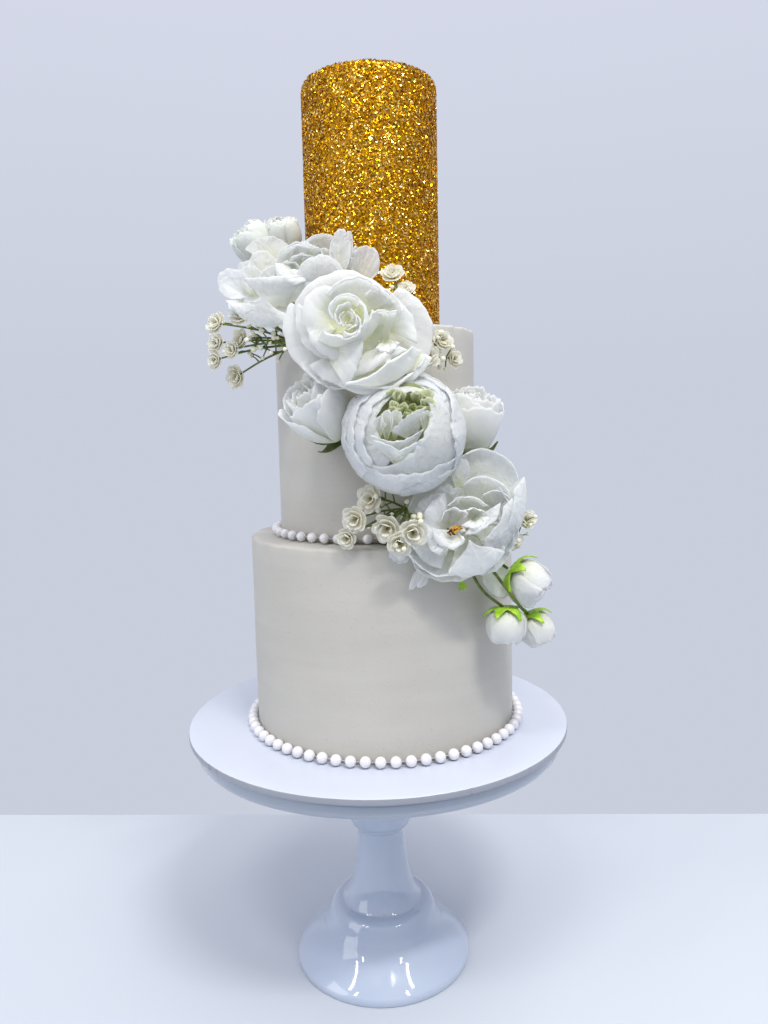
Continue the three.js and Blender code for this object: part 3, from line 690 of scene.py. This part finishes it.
CABBAGE_FRONT = (
    globe(76, 42, 42.5, 1, ragged=0.9),
    globe(85, 50, 38, 0.98, ragged=0.9),
    globe(168, 26, 38, 0.99, ragged=0.9),
    globe(87, 50, 34, 0.95, ragged=0.9),
    globe(5, 42, 30, 0.99, wings=10, ragged=1.2),
    globe(178, 47, 33.5, 0.98, ragged=1.1),
    globe(160, 63, 27, 0.94, wings=3, ragged=1.1),
    globe(80, 46, 28, 0.915, wings=3, ragged=1.1, roll=0.5, shade=(0.4, 1.05)),
    globe(163, 76, 21, 0.895, skew=-9, shade=(0.3, 0.95)),
    globe(297, 32, 33, 0.99, wings=6, skew=2, folds=0.4, ragged=1.1),
    globe(281, 62, 26, 0.975, wings=10, skew=3, folds=0.7, ragged=1.1, across=40),
    globe(313, 106, 10, 0.94, wings=22, skew=-5, folds=0.9, across=46, ragged=1.1, shade=(0.5, 1.05)),
    # A dark olive sheet behind the ruffles, at the lowest rim value: partly the opening's green tint, partly
    # painted shade.
    flat((0, 8), 23, 90, 180, (24, 24), shade=(0, 0.02), crease=1.2),
    flat((-17, -6), 28, 88, 19, (17, 35), wings=-4, shade=(0.1, 0.75), crease=0.5),
    flat((-12, -7), 28, 88, 15, (22, 36), wings=-7, shade=(0.05, 0.75), crease=0.4),
    flat((-7, -6), 28, 86, 15, (21, 36), wings=-6, shade=(0.05, 0.75), crease=0.4),
    flat((13, -4), 28, 88, 20, (18, 35), wings=-5, shade=(0, 0.7), crease=0.5),
    flat((6, -6), 30, 113, 40, (17, 37), neck=6, wings=3, skew=-3, drop=-2, shade=(0.4, 0.95), crease=0.3),
    flat((-3, -22), 31, 96, 36, (17, 38), neck=8, wings=11, drop=-2, shade=(0.3, 0.8), crease=0.3,
         roll=0.4),
    flat((-2, -26), 31, 93, 36, (16, 39), neck=8, wings=13, drop=-2, shade=(0.3, 0.85), crease=0.3,
         roll=0.4),
)
PEONY_RIGHT = (
    flat((0, -36), 4, 275, 14, (12, 5), slot=LIME, across=10, along=8, ruffle=0.7),
    flat((14, -20), 2, 300, 26, (39, 2), wings=-15, shade=(0.2, 0.6)),
    flat((-25, -24), 14, 243, 10, (24, 15), wings=-12, across=14),
    flat((-22, -25), 14, 247, 17, (20, 16), wings=-8, across=14, fold=0.8),
    flat((-28, -15), 10, 192, 38, (22, 16), wings=-7, crease=0.5),
    flat((-27, -15), 12, 180, 34, (21, 18), wings=-4, crease=0.5),
    cup((7, 0), 0, 72, 44, (49, 8), wings=-14, shade=(0.3, 0.95), crease=0.5),
    cup((-8, -1), 0, 125, 44, (30, 8), shade=(0.3, 0.95), crease=0.5),
    flat((-2, 20), 8, 85, 28, (23, 12), wings=-10, crease=1),
    cup((4, -4), 0, 345, 57, (18, 28), belly=(31, 13, 8, 10), wings=9, skew=12, drop=-3, crease=0.5,
        shade=(0.4, 1.05)),
    cup((-6, -13), 4, 247, 62, (27, 22), wings=3, skew=-4, drop=-4),
    cup((-6, -12), 6, 223, 48, (27, 25), skew=-6, tilt=3, shade=(0.35, 1)),
    cup((6, 6), 6, 45, 60, (28, 20), wings=-9, shade=(0.35, 1), crease=0.5),
    cup((3, -4), 2, 332, 40, (33, 21), ruffle=1.6, ragged=0.9, crease=0.8),
    cup((3, -2), 4, 8, 42, (32, 22), ruffle=1.6, ragged=0.9, crease=0.8),
    cup((0, -8), 4, 305, 40, (27, 27), ruffle=1.5, ragged=0.9, crease=0.8),
    cup((7, -3), 4, 348, 50, (9, 34), belly=(22, 20, 2, 7), wings=8, skew=6, drop=-3, crease=0.4,
        shade=(0.4, 1.05)),
    cup((1, -7), 2, 290, 46, (1, 39), belly=(27, 28), wings=16, drop=-5, crease=0.5, shade=(0.4, 1.05)),
    flat((-6, 6), 8, 110, 36, (20, 17), wings=-4, shade=(0.35, 1)),
    flare((-7, -6), 6, 181, 70, (28.5, 19), wings=-4, tilt=4, shade=(0.35, 1), crease=0.5),
    flare((-6, -5), 8, 171, 63, (22, 26), skew=-4, tilt=4, shade=(0.2, 1.05), crease=0.4),
    flare((-7, -5), 6, 134, 34, (29, 17), wings=-4, shade=(0.35, 1), crease=0.5),
    cup((6, -1), 8, 33, 36, (30, 22), wings=-9, tilt=-3, shade=(0.3, 1), crease=0.5),
    cup((6, 1), 10, 95, 50, (17, 24), skew=3, shade=(0.3, 1), crease=0.4),
    cup((8, -2), 12, 84, 50, (12, 27), skew=2, shade=(0.3, 0.95)),
    flare((7, 4), 14, 285, 80, (6, 31), wings=4, drop=-3, shade=(0.4, 1)),
    flare((8, 3), 14, 312, 84, (7, 32), wings=9, skew=3, drop=-4, shade=(0.3, 1.05)),
    flare((-5, -5), 14, 248, 81, (11, 32), skew=-6, drop=-3, shade=(0.3, 1.05)),
    cup((-6, -3), 12, 96, 50, (14, 29), wings=-4, drop=-3, shade=(0.35, 1), roll=0.4),
    flat((-12, -23), 22, 105, 30, (13, 31), shade=(0.3, 0.9), across=16),
)


def rose_heart(cloth, draw, radius):
    """Petals rolled round a rose's middle, one inside the other."""
    for i in range(7):
        way = 118 + 197 * i
        hub = (2 + 0.2 * i, -4 + (6 - 0.6 * i) * math.sin(math.radians(way)))
        rim = (9.0 - 1.2 * i, 58.5 - 0.4 * i)
        placed_petal(cloth, draw, radius, CUP, hub, 48 + 1.2 * i, way, 96 - 3 * i, rim,
                     neck=4.5 - 0.5 * i, skew=draw.uniform(-1.4, 1.4), drop=-2.5, roll=0.6 - 0.06 * i,
                     across=30, along=20, crease=0.5, ragged=0.6, ruffle=0.4,
                     shade=(0.25, 1.05 - 0.03 * i))


def cabbage_ruffles(cloth, draw, radius):
    """Short crumpled petals that fill the cabbage rose's opening, in four rows of four."""
    for i in range(16):
        row, column = divmod(i, 4)
        hub = (-9 + 7 * column + draw.uniform(-2, 2), 14 - 4 * row + draw.uniform(-1.5, 1.5))
        way = 90 + draw.uniform(-24, 24)
        rim = (draw.uniform(10, 14), 30 + 1.3 * row)
        # Low rim values make the ruffles dark olive: partly their green tint, partly painted shade in the
        # opening.
        placed_petal(cloth, draw, radius, FLAT, hub, 22 + 1.5 * row, way, 27, rim, wings=-3,
                     across=18, along=14, crease=0.9, shade=(0, draw.uniform(0.05, 0.25)))


# Buds: rings of petals from the outside in (how many, first place, spine, width, wrap and curl),
# the rim value at a petal's foot, how much it falls at the rim from ring to ring, and details.
ROSEBUD = (
    (
        (3, 0.0, [(0.15, 0.02), (1.25, 0.30), (1.02, 1.40), (1.05, 1.95)], 1.15, 0.95, 0.08),
        (3, 0.5, [(0.15, 0.06), (1.12, 0.34), (0.90, 1.50), (0.84, 2.12)], 1.05, 0.85, 0.05),
        (3, 0.2, [(0.15, 0.10), (0.92, 0.38), (0.74, 1.56), (0.60, 2.20)], 0.85, 0.66, 0.02),
        (3, 0.7, [(0.15, 0.14), (0.68, 0.40), (0.54, 1.56), (0.38, 2.20)], 0.60, 0.46, 0.0),
        (2, 0.3, [(0.10, 0.20), (0.38, 0.50), (0.30, 1.50), (0.20, 2.12)], 0.36, 0.26, 0.0),
    ),
    0.25, 0.07, dict(point=0.05, ruffle=0.045, ragged=0.015, crease=0.03, lean=0.06),
)
ROUND_BLOOM = (
    (
        (3, 0.0, [(0.2, 0.05), (1.25, 0.16), (1.14, 1.20), (0.72, 1.62)], 1.15, 0.98, 0),
        (3, 0.5, [(0.2, 0.08), (1.14, 0.20), (1.04, 1.26), (0.60, 1.68)], 1.05, 0.90, 0),
        (4, 0.2, [(0.2, 0.12), (0.98, 0.24), (0.90, 1.30), (0.50, 1.70)], 0.80, 0.78, 0),
        (4, 0.7, [(0.2, 0.14), (0.76, 0.26), (0.70, 1.28), (0.38, 1.66)], 0.60, 0.58, 0),
        (3, 0.3, [(0.1, 0.20), (0.48, 0.30), (0.46, 1.24), (0.26, 1.60)], 0.42, 0.36, 0),
        (2, 0.8, [(0.1, 0.20), (0.22, 0.40), (0.22, 1.20), (0.14, 1.54)], 0.26, 0.18, 0),
    ),
    0.35, 0.06, dict(taper=0.18, ruffle=0.06, ripples=5, ragged=0.03, crease=0.035, lean=0.07,
                     across=22, along=18),
)


def grow_bud(cloth, draw, size, rings, foot, fall, details):
    """Petals ring by ring, each ring dimmer at its rim than the one outside it."""
    for level, (count, start, spine, width, wrap, curl) in enumerate(rings):
        petal_ring(cloth, draw, size, count, start, spine, width=width, wrap=wrap, curl=curl,
                   shade=(foot, 1.0 - fall * level), **details)


def calyx(cloth, draw, size, slot):
    """A small star of pointed sepals at the foot of a bud."""
    for i in range(6):
        spine = [(0.0, -0.10), (0.72, -0.10), (1.18, 0.08), (1.17, 0.52 + 0.22 * draw.uniform(-1, 1))]
        petal(cloth, draw, size, 60 * (i + 0.5), spine, width=0.46, wrap=1.1, taper=0.1, point=0.8,
              slot=slot, across=12, along=12, thick=0.0005)


def stamens(cloth, draw, foot, tips):
    """Ochre threads that end in dark grains."""
    thread_radius, grain_radius = 0.0004, 0.0007
    for _ in range(16):
        start = np.array(foot) + draw.uniform(-1.2, 1.2, 3)
        end = np.array(tips) + draw.uniform(-1.0, 1.0, 3) * (2.2, 2.0, 1.0)
        route = np.array([start, (start + end) / 2 + (0, 0.6, 0), end]) * MM
        tube(cloth, route, (thread_radius, thread_radius), sides=5, steps=5, slot=STAMEN)
        add_ball(cloth, end * MM, grain_radius, ANTHER, sides=6, rows=4)


def placement(at, turn, lift):
    """Puts a flower's foot at `at`; it faces `turn` degrees round from the front and `lift` up."""
    a, b = math.radians(turn), math.radians(lift)
    axis = Vector((math.sin(a) * math.cos(b), -math.cos(a) * math.cos(b), math.sin(b)))
    right = Vector((math.cos(a), math.sin(a), 0))
    up = axis.cross(right)
    matrix = Matrix((right, up, axis)).transposed().to_4x4()
    matrix.translation = Vector(at) * MM
    return matrix


def keep_off_tiers(cloth):
    """Petals that would cut into a tier lie against its wall instead."""
    clearance, nearest = 0.0006, 1e-6
    for points in cloth.points:
        for name in ("tier_bottom", "tier_middle", "tier_top"):
            low, high = (np.array(corner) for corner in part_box(name))
            centre = (low[:2] + high[:2]) / 2
            radius = (high[0] - low[0]) / 2 + clearance
            from_axis = points[:, :2] - centre
            distance = np.linalg.norm(from_axis, axis=1)
            inside = (distance < radius) & (points[:, 2] > low[2]) & (points[:, 2] < high[2] + clearance)
            scale = np.where(inside, radius / np.maximum(distance, nearest), 1.0)
            points[:, :2] = centre + from_axis * scale[:, None]


# Where each flower's foot is and its radius, in mm, and how it is grown. A flower of listed petals
# faces the front; a bud is turned and lifted, and may stand on a stalk.
BLOOMS = {
    "rose_front": dict(petals=ROSE_FRONT, inside=rose_heart, at=(-16, -82, 512), size=50, seed=3),
    "cabbage_front": dict(petals=CABBAGE_FRONT, inside=cabbage_ruffles, silk="silk_crumpled",
                          at=(21, -106, 438), size=41.5, seed=9),
    "peony_right": dict(petals=PEONY_RIGHT, ruffle=1.4, silk="silk_crumpled", at=(59, -92, 378), size=47,
                        seed=7, heart=((-1, -3, 18), (-9, -4, 30))),
    "peony_left": dict(petals=PEONY_LEFT, silk="silk_crumpled", at=(-59, -62, 533), size=50, seed=5),
    "bud_left": dict(bud=ROSEBUD, at=(-21, -83, 441), turn=-46, lift=38, size=20.5, seed=13, sepals=STEM),
    "bud_right": dict(bud=ROSEBUD, at=(64, -68, 424), turn=36, lift=68, size=20, seed=21, sepals=STEM),
    "ranunculus_left": dict(bud=ROUND_BLOOM, silk="silk_green", at=(-76, -24, 570), turn=-58, lift=42,
                            size=15, seed=33, stalk=((-58, -16, 516), (-66, -20, 545))),
    "ranunculus_top": dict(bud=ROUND_BLOOM, silk="silk_green", at=(-62, -20, 574), turn=-10, lift=66,
                           size=14, seed=45, stalk=((-56, -10, 516), (-58, -16, 545))),
    "blossom_upper": dict(bud=ROUND_BLOOM, at=(95, -90, 341), turn=78, lift=-36, size=15.5, seed=51,
                          sepals=LIME, stalk=((70, -95, 360), (86, -97, 348))),
    "blossom_lower": dict(bud=ROUND_BLOOM, at=(90, -92, 315), turn=30, lift=-84, size=13.5, seed=63,
                          sepals=LIME, stalk=((64, -97, 346), (74, -98, 329))),
    "blossom_tip": dict(bud=ROUND_BLOOM, at=(108, -84, 308), turn=80, lift=-62, size=12.8, seed=71,
                        sepals=LIME, stalk=((74, -97, 352), (88, -103, 333), (99, -98, 318))),
}


def make_bloom(name, finishes, at, size, seed, bud=None, turn=0, lift=0, petals=(), ruffle=0.7,
               inside=None, heart=None, sepals=None, stalk=None, silk="silk_white"):
    """One flower with all that belongs to it."""
    stalk_radius = 0.0011
    draw = np.random.default_rng(seed)
    cloth = Cloth()
    if bud:
        grow_bud(cloth, draw, size * MM, *bud)
    for *place, details in petals:
        placed_petal(cloth, draw, size, *place, **{"ruffle": ruffle, **details})
    if inside:
        inside(cloth, draw, size)
    if sepals:
        calyx(cloth, draw, size * MM, sepals)
    if heart:
        stamens(cloth, draw, *heart)
    cloth.move(placement(at, turn, lift))
    if stalk:
        tube(cloth, np.array([*stalk, at]) * MM, (stalk_radius, stalk_radius), slot=STEM)
    keep_off_tiers(cloth)
    materials = [finishes[key] for key in (silk, "calyx_lime", "stem_green", "stamen_ochre", "anther_brown")]
    piece = cloth.build(name + "_silk", materials)
    show(piece, "silk_green" if silk == "silk_green" else "silk_white", name)


# Sprays in mm: the root, then each branch's tip with a small blossom on it (x, y, z, scale).
SPRAYS = {
    "spray_left": ((-46, -82, 500), ((-110, -52, 519, 1), (-87, -84, 521, 1.1), (-109, -60, 504, 0.9),
                   (-90, -74, 505, 0.9), (-96, -74, 498, 0.8), (-110, -62, 492, 0.8), (-96, -60, 480, 1))),
    "spray_right": ((33, -84, 484), ((17, -66, 549, 1), (26, -70, 538, 0.8), (38, -104, 489, 1),
                    (50, -90, 500, 0.9), (58, -84, 488, 0.8), (34, -80, 516, 0.7))),
    "spray_lower": ((22, -104, 388), ((-3, -110, 396, 1.1), (-13, -112, 382, 1.1), (8, -118, 376, 1.15),
                    (-19, -108, 369, 0.9), (16, -126, 367, 1), (25, -128, 374, 1.1))),
    "spray_edge": ((96, -78, 360), ((106, -88, 377, 0.9), (97, -90, 362, 0.8))),
}
PETAL, TWIG, PIP = range(3)  # a spray's material slots


def small_blossom(cloth, draw, place, aim, size):
    """A little double blossom of rounded cream petals."""
    part = Cloth()
    for count, radius, height, width in ((6, 1.0, 0.30, 0.52), (5, 0.72, 0.50, 0.42), (4, 0.40, 0.60, 0.30)):
        spine = [(0.05, 0), (radius * 0.6, 0.0), (radius * 0.95, height * 0.5), (radius, height)]
        petal_ring(part, draw, size, count, draw.uniform(0, 1), spine, width=width, wrap=0.6, taper=0.25,
                   ruffle=0.05, ripples=2, crease=0.02, lean=0.06, slot=PETAL, across=8, along=7)
    part.move(Matrix.Translation(place) @ Vector(aim).to_track_quat("Z", "Y").to_matrix().to_4x4())
    cloth.take(part)


def add_pip(cloth, draw, path, onward):
    """A pip on a short twig that leaves a branch somewhere along its middle."""
    twig_lengths, pip_radii = (0.006, 0.012), (0.0012, 0.0022)
    joint = path[draw.integers(3, 13)]
    away = draw.normal(size=3) * (1, 0.6, 1) + onward
    end = joint + away / np.linalg.norm(away) * draw.uniform(*twig_lengths)
    arched = (joint + end) / 2 + (0, 0, 0.0006)
    tube(cloth, (joint, arched, end), (0.0006, 0.0004), sides=6, steps=6, slot=TWIG)
    add_ball(cloth, end, draw.uniform(*pip_radii), PIP)


def make_spray(name, finishes, root, tips):
    """Branches from one root, each with a blossom at its tip and pips along it."""
    blossom, pips, inset = 8.7, 6, 0.002
    draw = np.random.default_rng(len(name) * 7 + int(abs(root[0])))
    cloth = Cloth()
    root = np.array(root) * MM
    for x, y, z, scale in tips:
        tip = np.array((x, y, z)) * MM
        middle = (root + tip) / 2 + np.array((0, -2, 2)) * MM
        path = tube(cloth, (root, middle, tip), (0.0009, 0.0006), sides=7, steps=16, slot=TWIG)
        onward = tip - middle
        length = np.linalg.norm(onward)
        aim = 0.6 * onward / length + np.array((0, -1.0, 0.15))
        small_blossom(cloth, draw, tip - aim * inset, aim, blossom * scale * MM)
        for _ in range(pips):
            add_pip(cloth, draw, path, onward / length)
    keep_off_tiers(cloth)
    materials = [finishes[key] for key in ("silk_cream", "stem_green", "pip_cream")]
    show(cloth.build(name + "_blossoms", materials), "silk_cream", name)


# Cake, pearls, board and stand


def tier_profile(radius, low, high, edge, rows):
    """Wall and top of a tier whose rim is rounded by `edge`."""
    wall = [(radius, low + (high - edge - low) * i / rows) for i in range(rows + 1)]
    rim = [(radius - edge * (1 - math.cos(a)), high - edge * (1 - math.sin(a)))
           for a in np.linspace(0, TAU / 4, 6)[1:]]
    top = [((radius - edge) * (1 - i / 12), high) for i in range(1, 12)]
    return [(0, low), *wall, *rim, *top, (0, high)]


def turned(name, profile, sides, x, materials, slot, node, shape=None):
    """A piece that is one turned solid and is shown for its node."""
    cloth = Cloth()
    add_lathe(cloth, profile, sides, (x, 0), shape=shape)
    piece = cloth.build(name, materials)
    show(piece, slot, node)
    return piece


def make_tier(name, finish, seed):
    """A buttercream tier with a slightly uneven wall and a ragged rim."""
    dent, nick, sag = 0.00022, 0.00018, 0.00016  # on the wall, at the rim, and down from the rim
    edge, rim_band = 0.0022, 0.004
    x, radius, low, high = node_axis(name)
    phases = np.random.default_rng(seed).uniform(0, TAU, 12)

    def uneven(points):
        turn = np.arctan2(points[:, 1], points[:, 0] - x)
        height = (points[:, 2] - low) / (high - low)
        swell = sum(np.sin((k + 1) * turn + 5 * height * (k % 3) + phases[k]) / (k + 2) for k in range(8))
        near = np.exp(-((high - points[:, 2]) / rim_band) ** 2)
        rag = sum(np.sin(k * turn + phase) for k, phase in zip((37, 61, 23), phases[9:]))
        inward = dent * (1.6 - swell) + nick * near * (2 - rag)
        scale = 1 - inward / radius
        points[:, 0] = x + (points[:, 0] - x) * scale
        points[:, 1] = points[:, 1] * scale
        points[:, 2] -= sag * near * (2 - rag)
        return points

    profile = tier_profile(radius, low, high, edge, rows=40)
    turned(name + "_cream", profile, 240, x, [finish], "buttercream", name, uneven)


def flake_places(draw, wall, top, radius, low, high):
    """The centres of flakes all over a tier's wall and then its top, and the ways out of it."""
    count = wall + top
    rim_band, rounding, margin, sunk, inset = 0.004, 0.003, 0.0012, 0.0010, 0.0006
    turn = draw.uniform(0, TAU, count)
    z = draw.uniform(low + margin, high - margin, count)
    from_axis = np.sqrt(draw.uniform(0, 1, count)) * (radius - inset)
    on_top = np.arange(count) >= wall
    bent = np.clip((z - (high - rim_band)) / rounding, 0, 1)
    r = np.where(on_top, from_axis, radius - margin * bent ** 2)
    z = np.where(on_top, high - sunk, z)
    outward = np.stack([np.cos(turn), np.sin(turn), np.zeros_like(turn)], -1)
    outward[on_top] = (0, 0, 1)
    return np.stack([r * np.cos(turn), r * np.sin(turn), z], -1), outward


def flake_corners(draw, centre, outward):
    """A flake is a tilted triangle and a point behind it, set into the core."""
    tilt, askew, depth = 0.42, 0.35, 0.0012
    sizes, heights = (0.0006, 0.00118), (0.0001, 0.0005)
    count = len(centre)
    normal = unit(outward + draw.normal(0, tilt, centre.shape))
    side = unit(np.cross(normal, draw.normal(size=centre.shape)))
    other = np.cross(normal, side)
    size = draw.uniform(*sizes, count)[:, None]
    middle = centre + outward * draw.uniform(*heights, count)[:, None]
    corners = []
    for k in range(3):
        angle = (TAU * k / 3 + draw.uniform(-askew, askew, count))[:, None]
        corners.append(middle + size * (side * np.cos(angle) + other * np.sin(angle)))
    return np.stack([*corners, middle - outward * depth], 1)


def make_gold_tier(finishes):
    """A rounded core under a scatter of flakes, which stay inside the tier's own outline."""
    wall, top, seed = 49000, 7000, 4
    cover, edge, clearance = 0.0009, 0.003, 0.00005
    x, reach, low, high = node_axis("tier_top")
    radius = reach - cover
    profile = tier_profile(radius, low, high - cover, edge, rows=30)
    turned("tier_top_core", profile, 160, x, [finishes["gold_ground"]], "gold_flake", "tier_top")

    draw = np.random.default_rng(seed)
    points = flake_corners(draw, *flake_places(draw, wall, top, radius, low, high))
    from_axis = np.linalg.norm(points[..., :2], axis=-1)
    points[..., :2] *= np.minimum(1, (reach - clearance) / np.maximum(from_axis, 1e-9))[..., None]
    points[..., 2] = np.clip(points[..., 2], low + 2 * clearance, high)
    points[..., 0] += x
    chip = np.array([[0, 1, 2], [1, 0, 3], [2, 1, 3], [0, 2, 3]])
    for place, part in (("wall", points[:wall]), ("rim", points[wall:])):
        flakes = Cloth()
        flakes.add(part, (np.arange(len(part))[:, None, None] * 4 + chip).reshape(-1, 3))
        show(flakes.build(f"tier_top_{place}_flakes", [finishes["gold_flakes"]], smooth=False), "gold_flake")


def make_pearls(name, tier, finishes, bead, count):
    """A string of beads round a tier's foot, some hanging a little below their thread."""
    sag, thread_radius, thread_sides = 0.0002, 0.0004, 6
    x = node_axis(tier)[0]
    _, outer, low, high = node_axis(name)
    ring = outer - (high - low) / 2
    height = (low + high) / 2
    draw = np.random.default_rng(count)
    cloth = Cloth()
    for i in range(count):
        turn = TAU * (i + 0.5) / count
        centre = (x + ring * math.cos(turn), ring * math.sin(turn), height + draw.uniform(-sag, 0))
        add_ball(cloth, centre, bead, sides=20, rows=12)
    turns = round_turn(4 * count)
    out = np.stack([np.cos(turns), np.sin(turns), np.zeros_like(turns)], -1)
    cord = ring * out + (x, 0, height)
    loop = round_turn(thread_sides)[None, :, None]
    section = out[:, None] * np.cos(loop) + np.array((0, 0, 1)) * np.sin(loop)
    strand = (cord[:, None] + thread_radius * section).reshape(-1, 3)
    cloth.add(strand, grid_faces(len(turns) + 1, thread_sides, closed=True) % len(strand), 1)
    show(cloth.build(name + "_beads", [finishes["pearl"], finishes["thread"]]), "pearl", name)


def make_board(finish, side_shade_finish):
    """A foil-covered disc with rounded edges; the foil is pleated round its side, and its steep side faces
    take a darker foil: painted shade.
    """
    edge, pleat_count, pleat_width = 0.0011, 46, 0.0035
    pleat_depth, ripple_depth = 0.0006, 0.00012
    x, radius, low, high = node_axis("cake_board")
    inner, skirt = radius - edge, 2.5 * edge
    corner = np.linspace(0, TAU / 4, 5)
    lower = [(inner + edge * math.sin(a), low + edge - edge * math.cos(a)) for a in corner]
    upper = [(inner + edge * math.cos(a), high - edge + edge * math.sin(a)) for a in corner]
    top = [(inner * (1 - i / 16), high) for i in range(1, 16)]
    base = [(inner * i / 6, low) for i in range(1, 6)]
    folds = np.sort(np.random.default_rng(8).uniform(0, TAU, pleat_count))

    def pleated(points):
        turn = np.arctan2(points[:, 1], points[:, 0]) % TAU
        out = np.hypot(points[:, 0], points[:, 1])
        side = np.clip((out - (radius - skirt)) / skirt, 0, 1) * (points[:, 2] < high - 0.3 * edge)
        gap = (turn[:, None] - folds[None] + math.pi) % TAU - math.pi
        groove = np.exp(-(gap / pleat_width) ** 2).max(1)
        ripple = 0.5 + 0.5 * np.sin(130 * turn + 3 * np.sin(9 * turn))
        inward = side * (pleat_depth * groove + ripple_depth * ripple)
        points[:, :2] *= (1 - inward / radius)[:, None]
        return points

    steep = 0.6
    profile = [(0, low), *base, *lower, *upper, *top, (0, high)]
    materials = [finish, side_shade_finish]
    piece = turned("cake_board_foil", profile, 720, x, materials, "board_foil", "cake_board", pleated)
    # The steep faces of the side get the dimmed foil: painted shade on the board's edge.
    for face in piece.data.polygons:
        if abs(face.normal.z) < steep:
            face.material_index = 1


def make_pedestal(finish):
    """The turned foot, dome, neck and cup of the stand, drawn as (radius, height) curves."""
    _, foot, low, _ = node_axis("stand_pedestal")
    top = 0.186
    crease, shoulder = (0.0335, 0.0475), (0.0485, 0.0313)
    lip = [(foot - 0.0014, low), (foot - 0.0004, 0.0006), (foot, 0.0016), (foot, 0.0035)]
    dome = curve(16, (foot, 0.005), (0.0676, 0.0126), (0.0521, 0.0225), shoulder)
    crown = curve(16, shoulder, (0.0433, 0.0389), (0.0439, 0.0483), crease)[1:]
    neck = curve(18, (0.0325, 0.0482), (0.0235, 0.060), (0.0208, 0.083), (0.0194, 0.1085))
    collar = [(0.0196, 0.1096), (0.0208, 0.1112), (0.0234, 0.1136)]
    bell = curve(16, (0.0248, 0.1155), (0.031, 0.128), (0.033, 0.158), (0.046, top))
    profile = [(0, low), *lip, *dome, *crown, *neck, *collar, *bell, (0, top)]
    turned("stand_pedestal_glaze", profile, 160, 0, [finish], "stand_gloss", "stand_pedestal")


def make_plate(finish):
    """The stand's plate: a flat top, an upright rim, and a skirt that curves in below it."""
    _, rim, under, top = node_axis("stand_plate")
    edge = top - 0.011
    skirt = curve(12, (0.090, edge - 0.0045), (0.125, edge - 0.004), (0.142, edge - 0.0036), (0.147, edge))
    bead = [(rim, edge + 0.0025), (rim, top - 0.0012), (rim - 0.0004, top - 0.0004), (rim - 0.0012, top)]
    level = [(rim * k, top) for k in (0.75, 0.5, 0.25)]
    profile = [(0, under), (0.052, under), *skirt, *bead, *level, (0, top)]
    turned("stand_plate_glaze", profile, 240, 0, [finish], "stand_gloss", "stand_plate")


def make_floor():
    """A pale table top that ends behind the stand, its far edge slightly askew."""
    front, back, half, depth = -1.3, 0.226, 1.3, 0.03
    slope = (0.202 - 0.250) / (0.435 + 0.446)
    points = [(x, y + (slope * x if y > 0 else 0), z)
              for z in (-depth, 0) for x, y in ((-half, front), (half, front), (half, back), (-half, back))]
    faces = [(3, 2, 1, 0), (4, 5, 6, 7), (0, 1, 5, 4), (1, 2, 6, 5), (2, 3, 7, 6), (3, 0, 4, 7)]
    cloth = Cloth()
    cloth.add(points, faces)
    cloth.build("floor", [floor_paint()], smooth=False)


make_camera()
make_lamps()
make_room()
make_floor()

finishes = make_finishes()
make_tier("tier_bottom", finishes["buttercream"], 1)
make_tier("tier_middle", finishes["buttercream"], 2)
make_gold_tier(finishes)
make_pearls("pearls_bottom", "tier_bottom", finishes, 0.0041, 64)
make_pearls("pearls_middle", "tier_middle", finishes, 0.0036, 47)
# The board's side foil is dimmed to half: painted shade.
make_board(foil("board_foil"), foil("board_side_painted_shade_foil", 0.5))
make_pedestal(glaze("stand_glaze"))
# The plate's glaze is dimmed: painted shade under the board's edge.
make_plate(glaze("plate_painted_shade_glaze", 0.7))
for name, bloom in BLOOMS.items():
    make_bloom(name, finishes, **bloom)
for name, (root, tips) in SPRAYS.items():
    make_spray(name, finishes, root, tips)
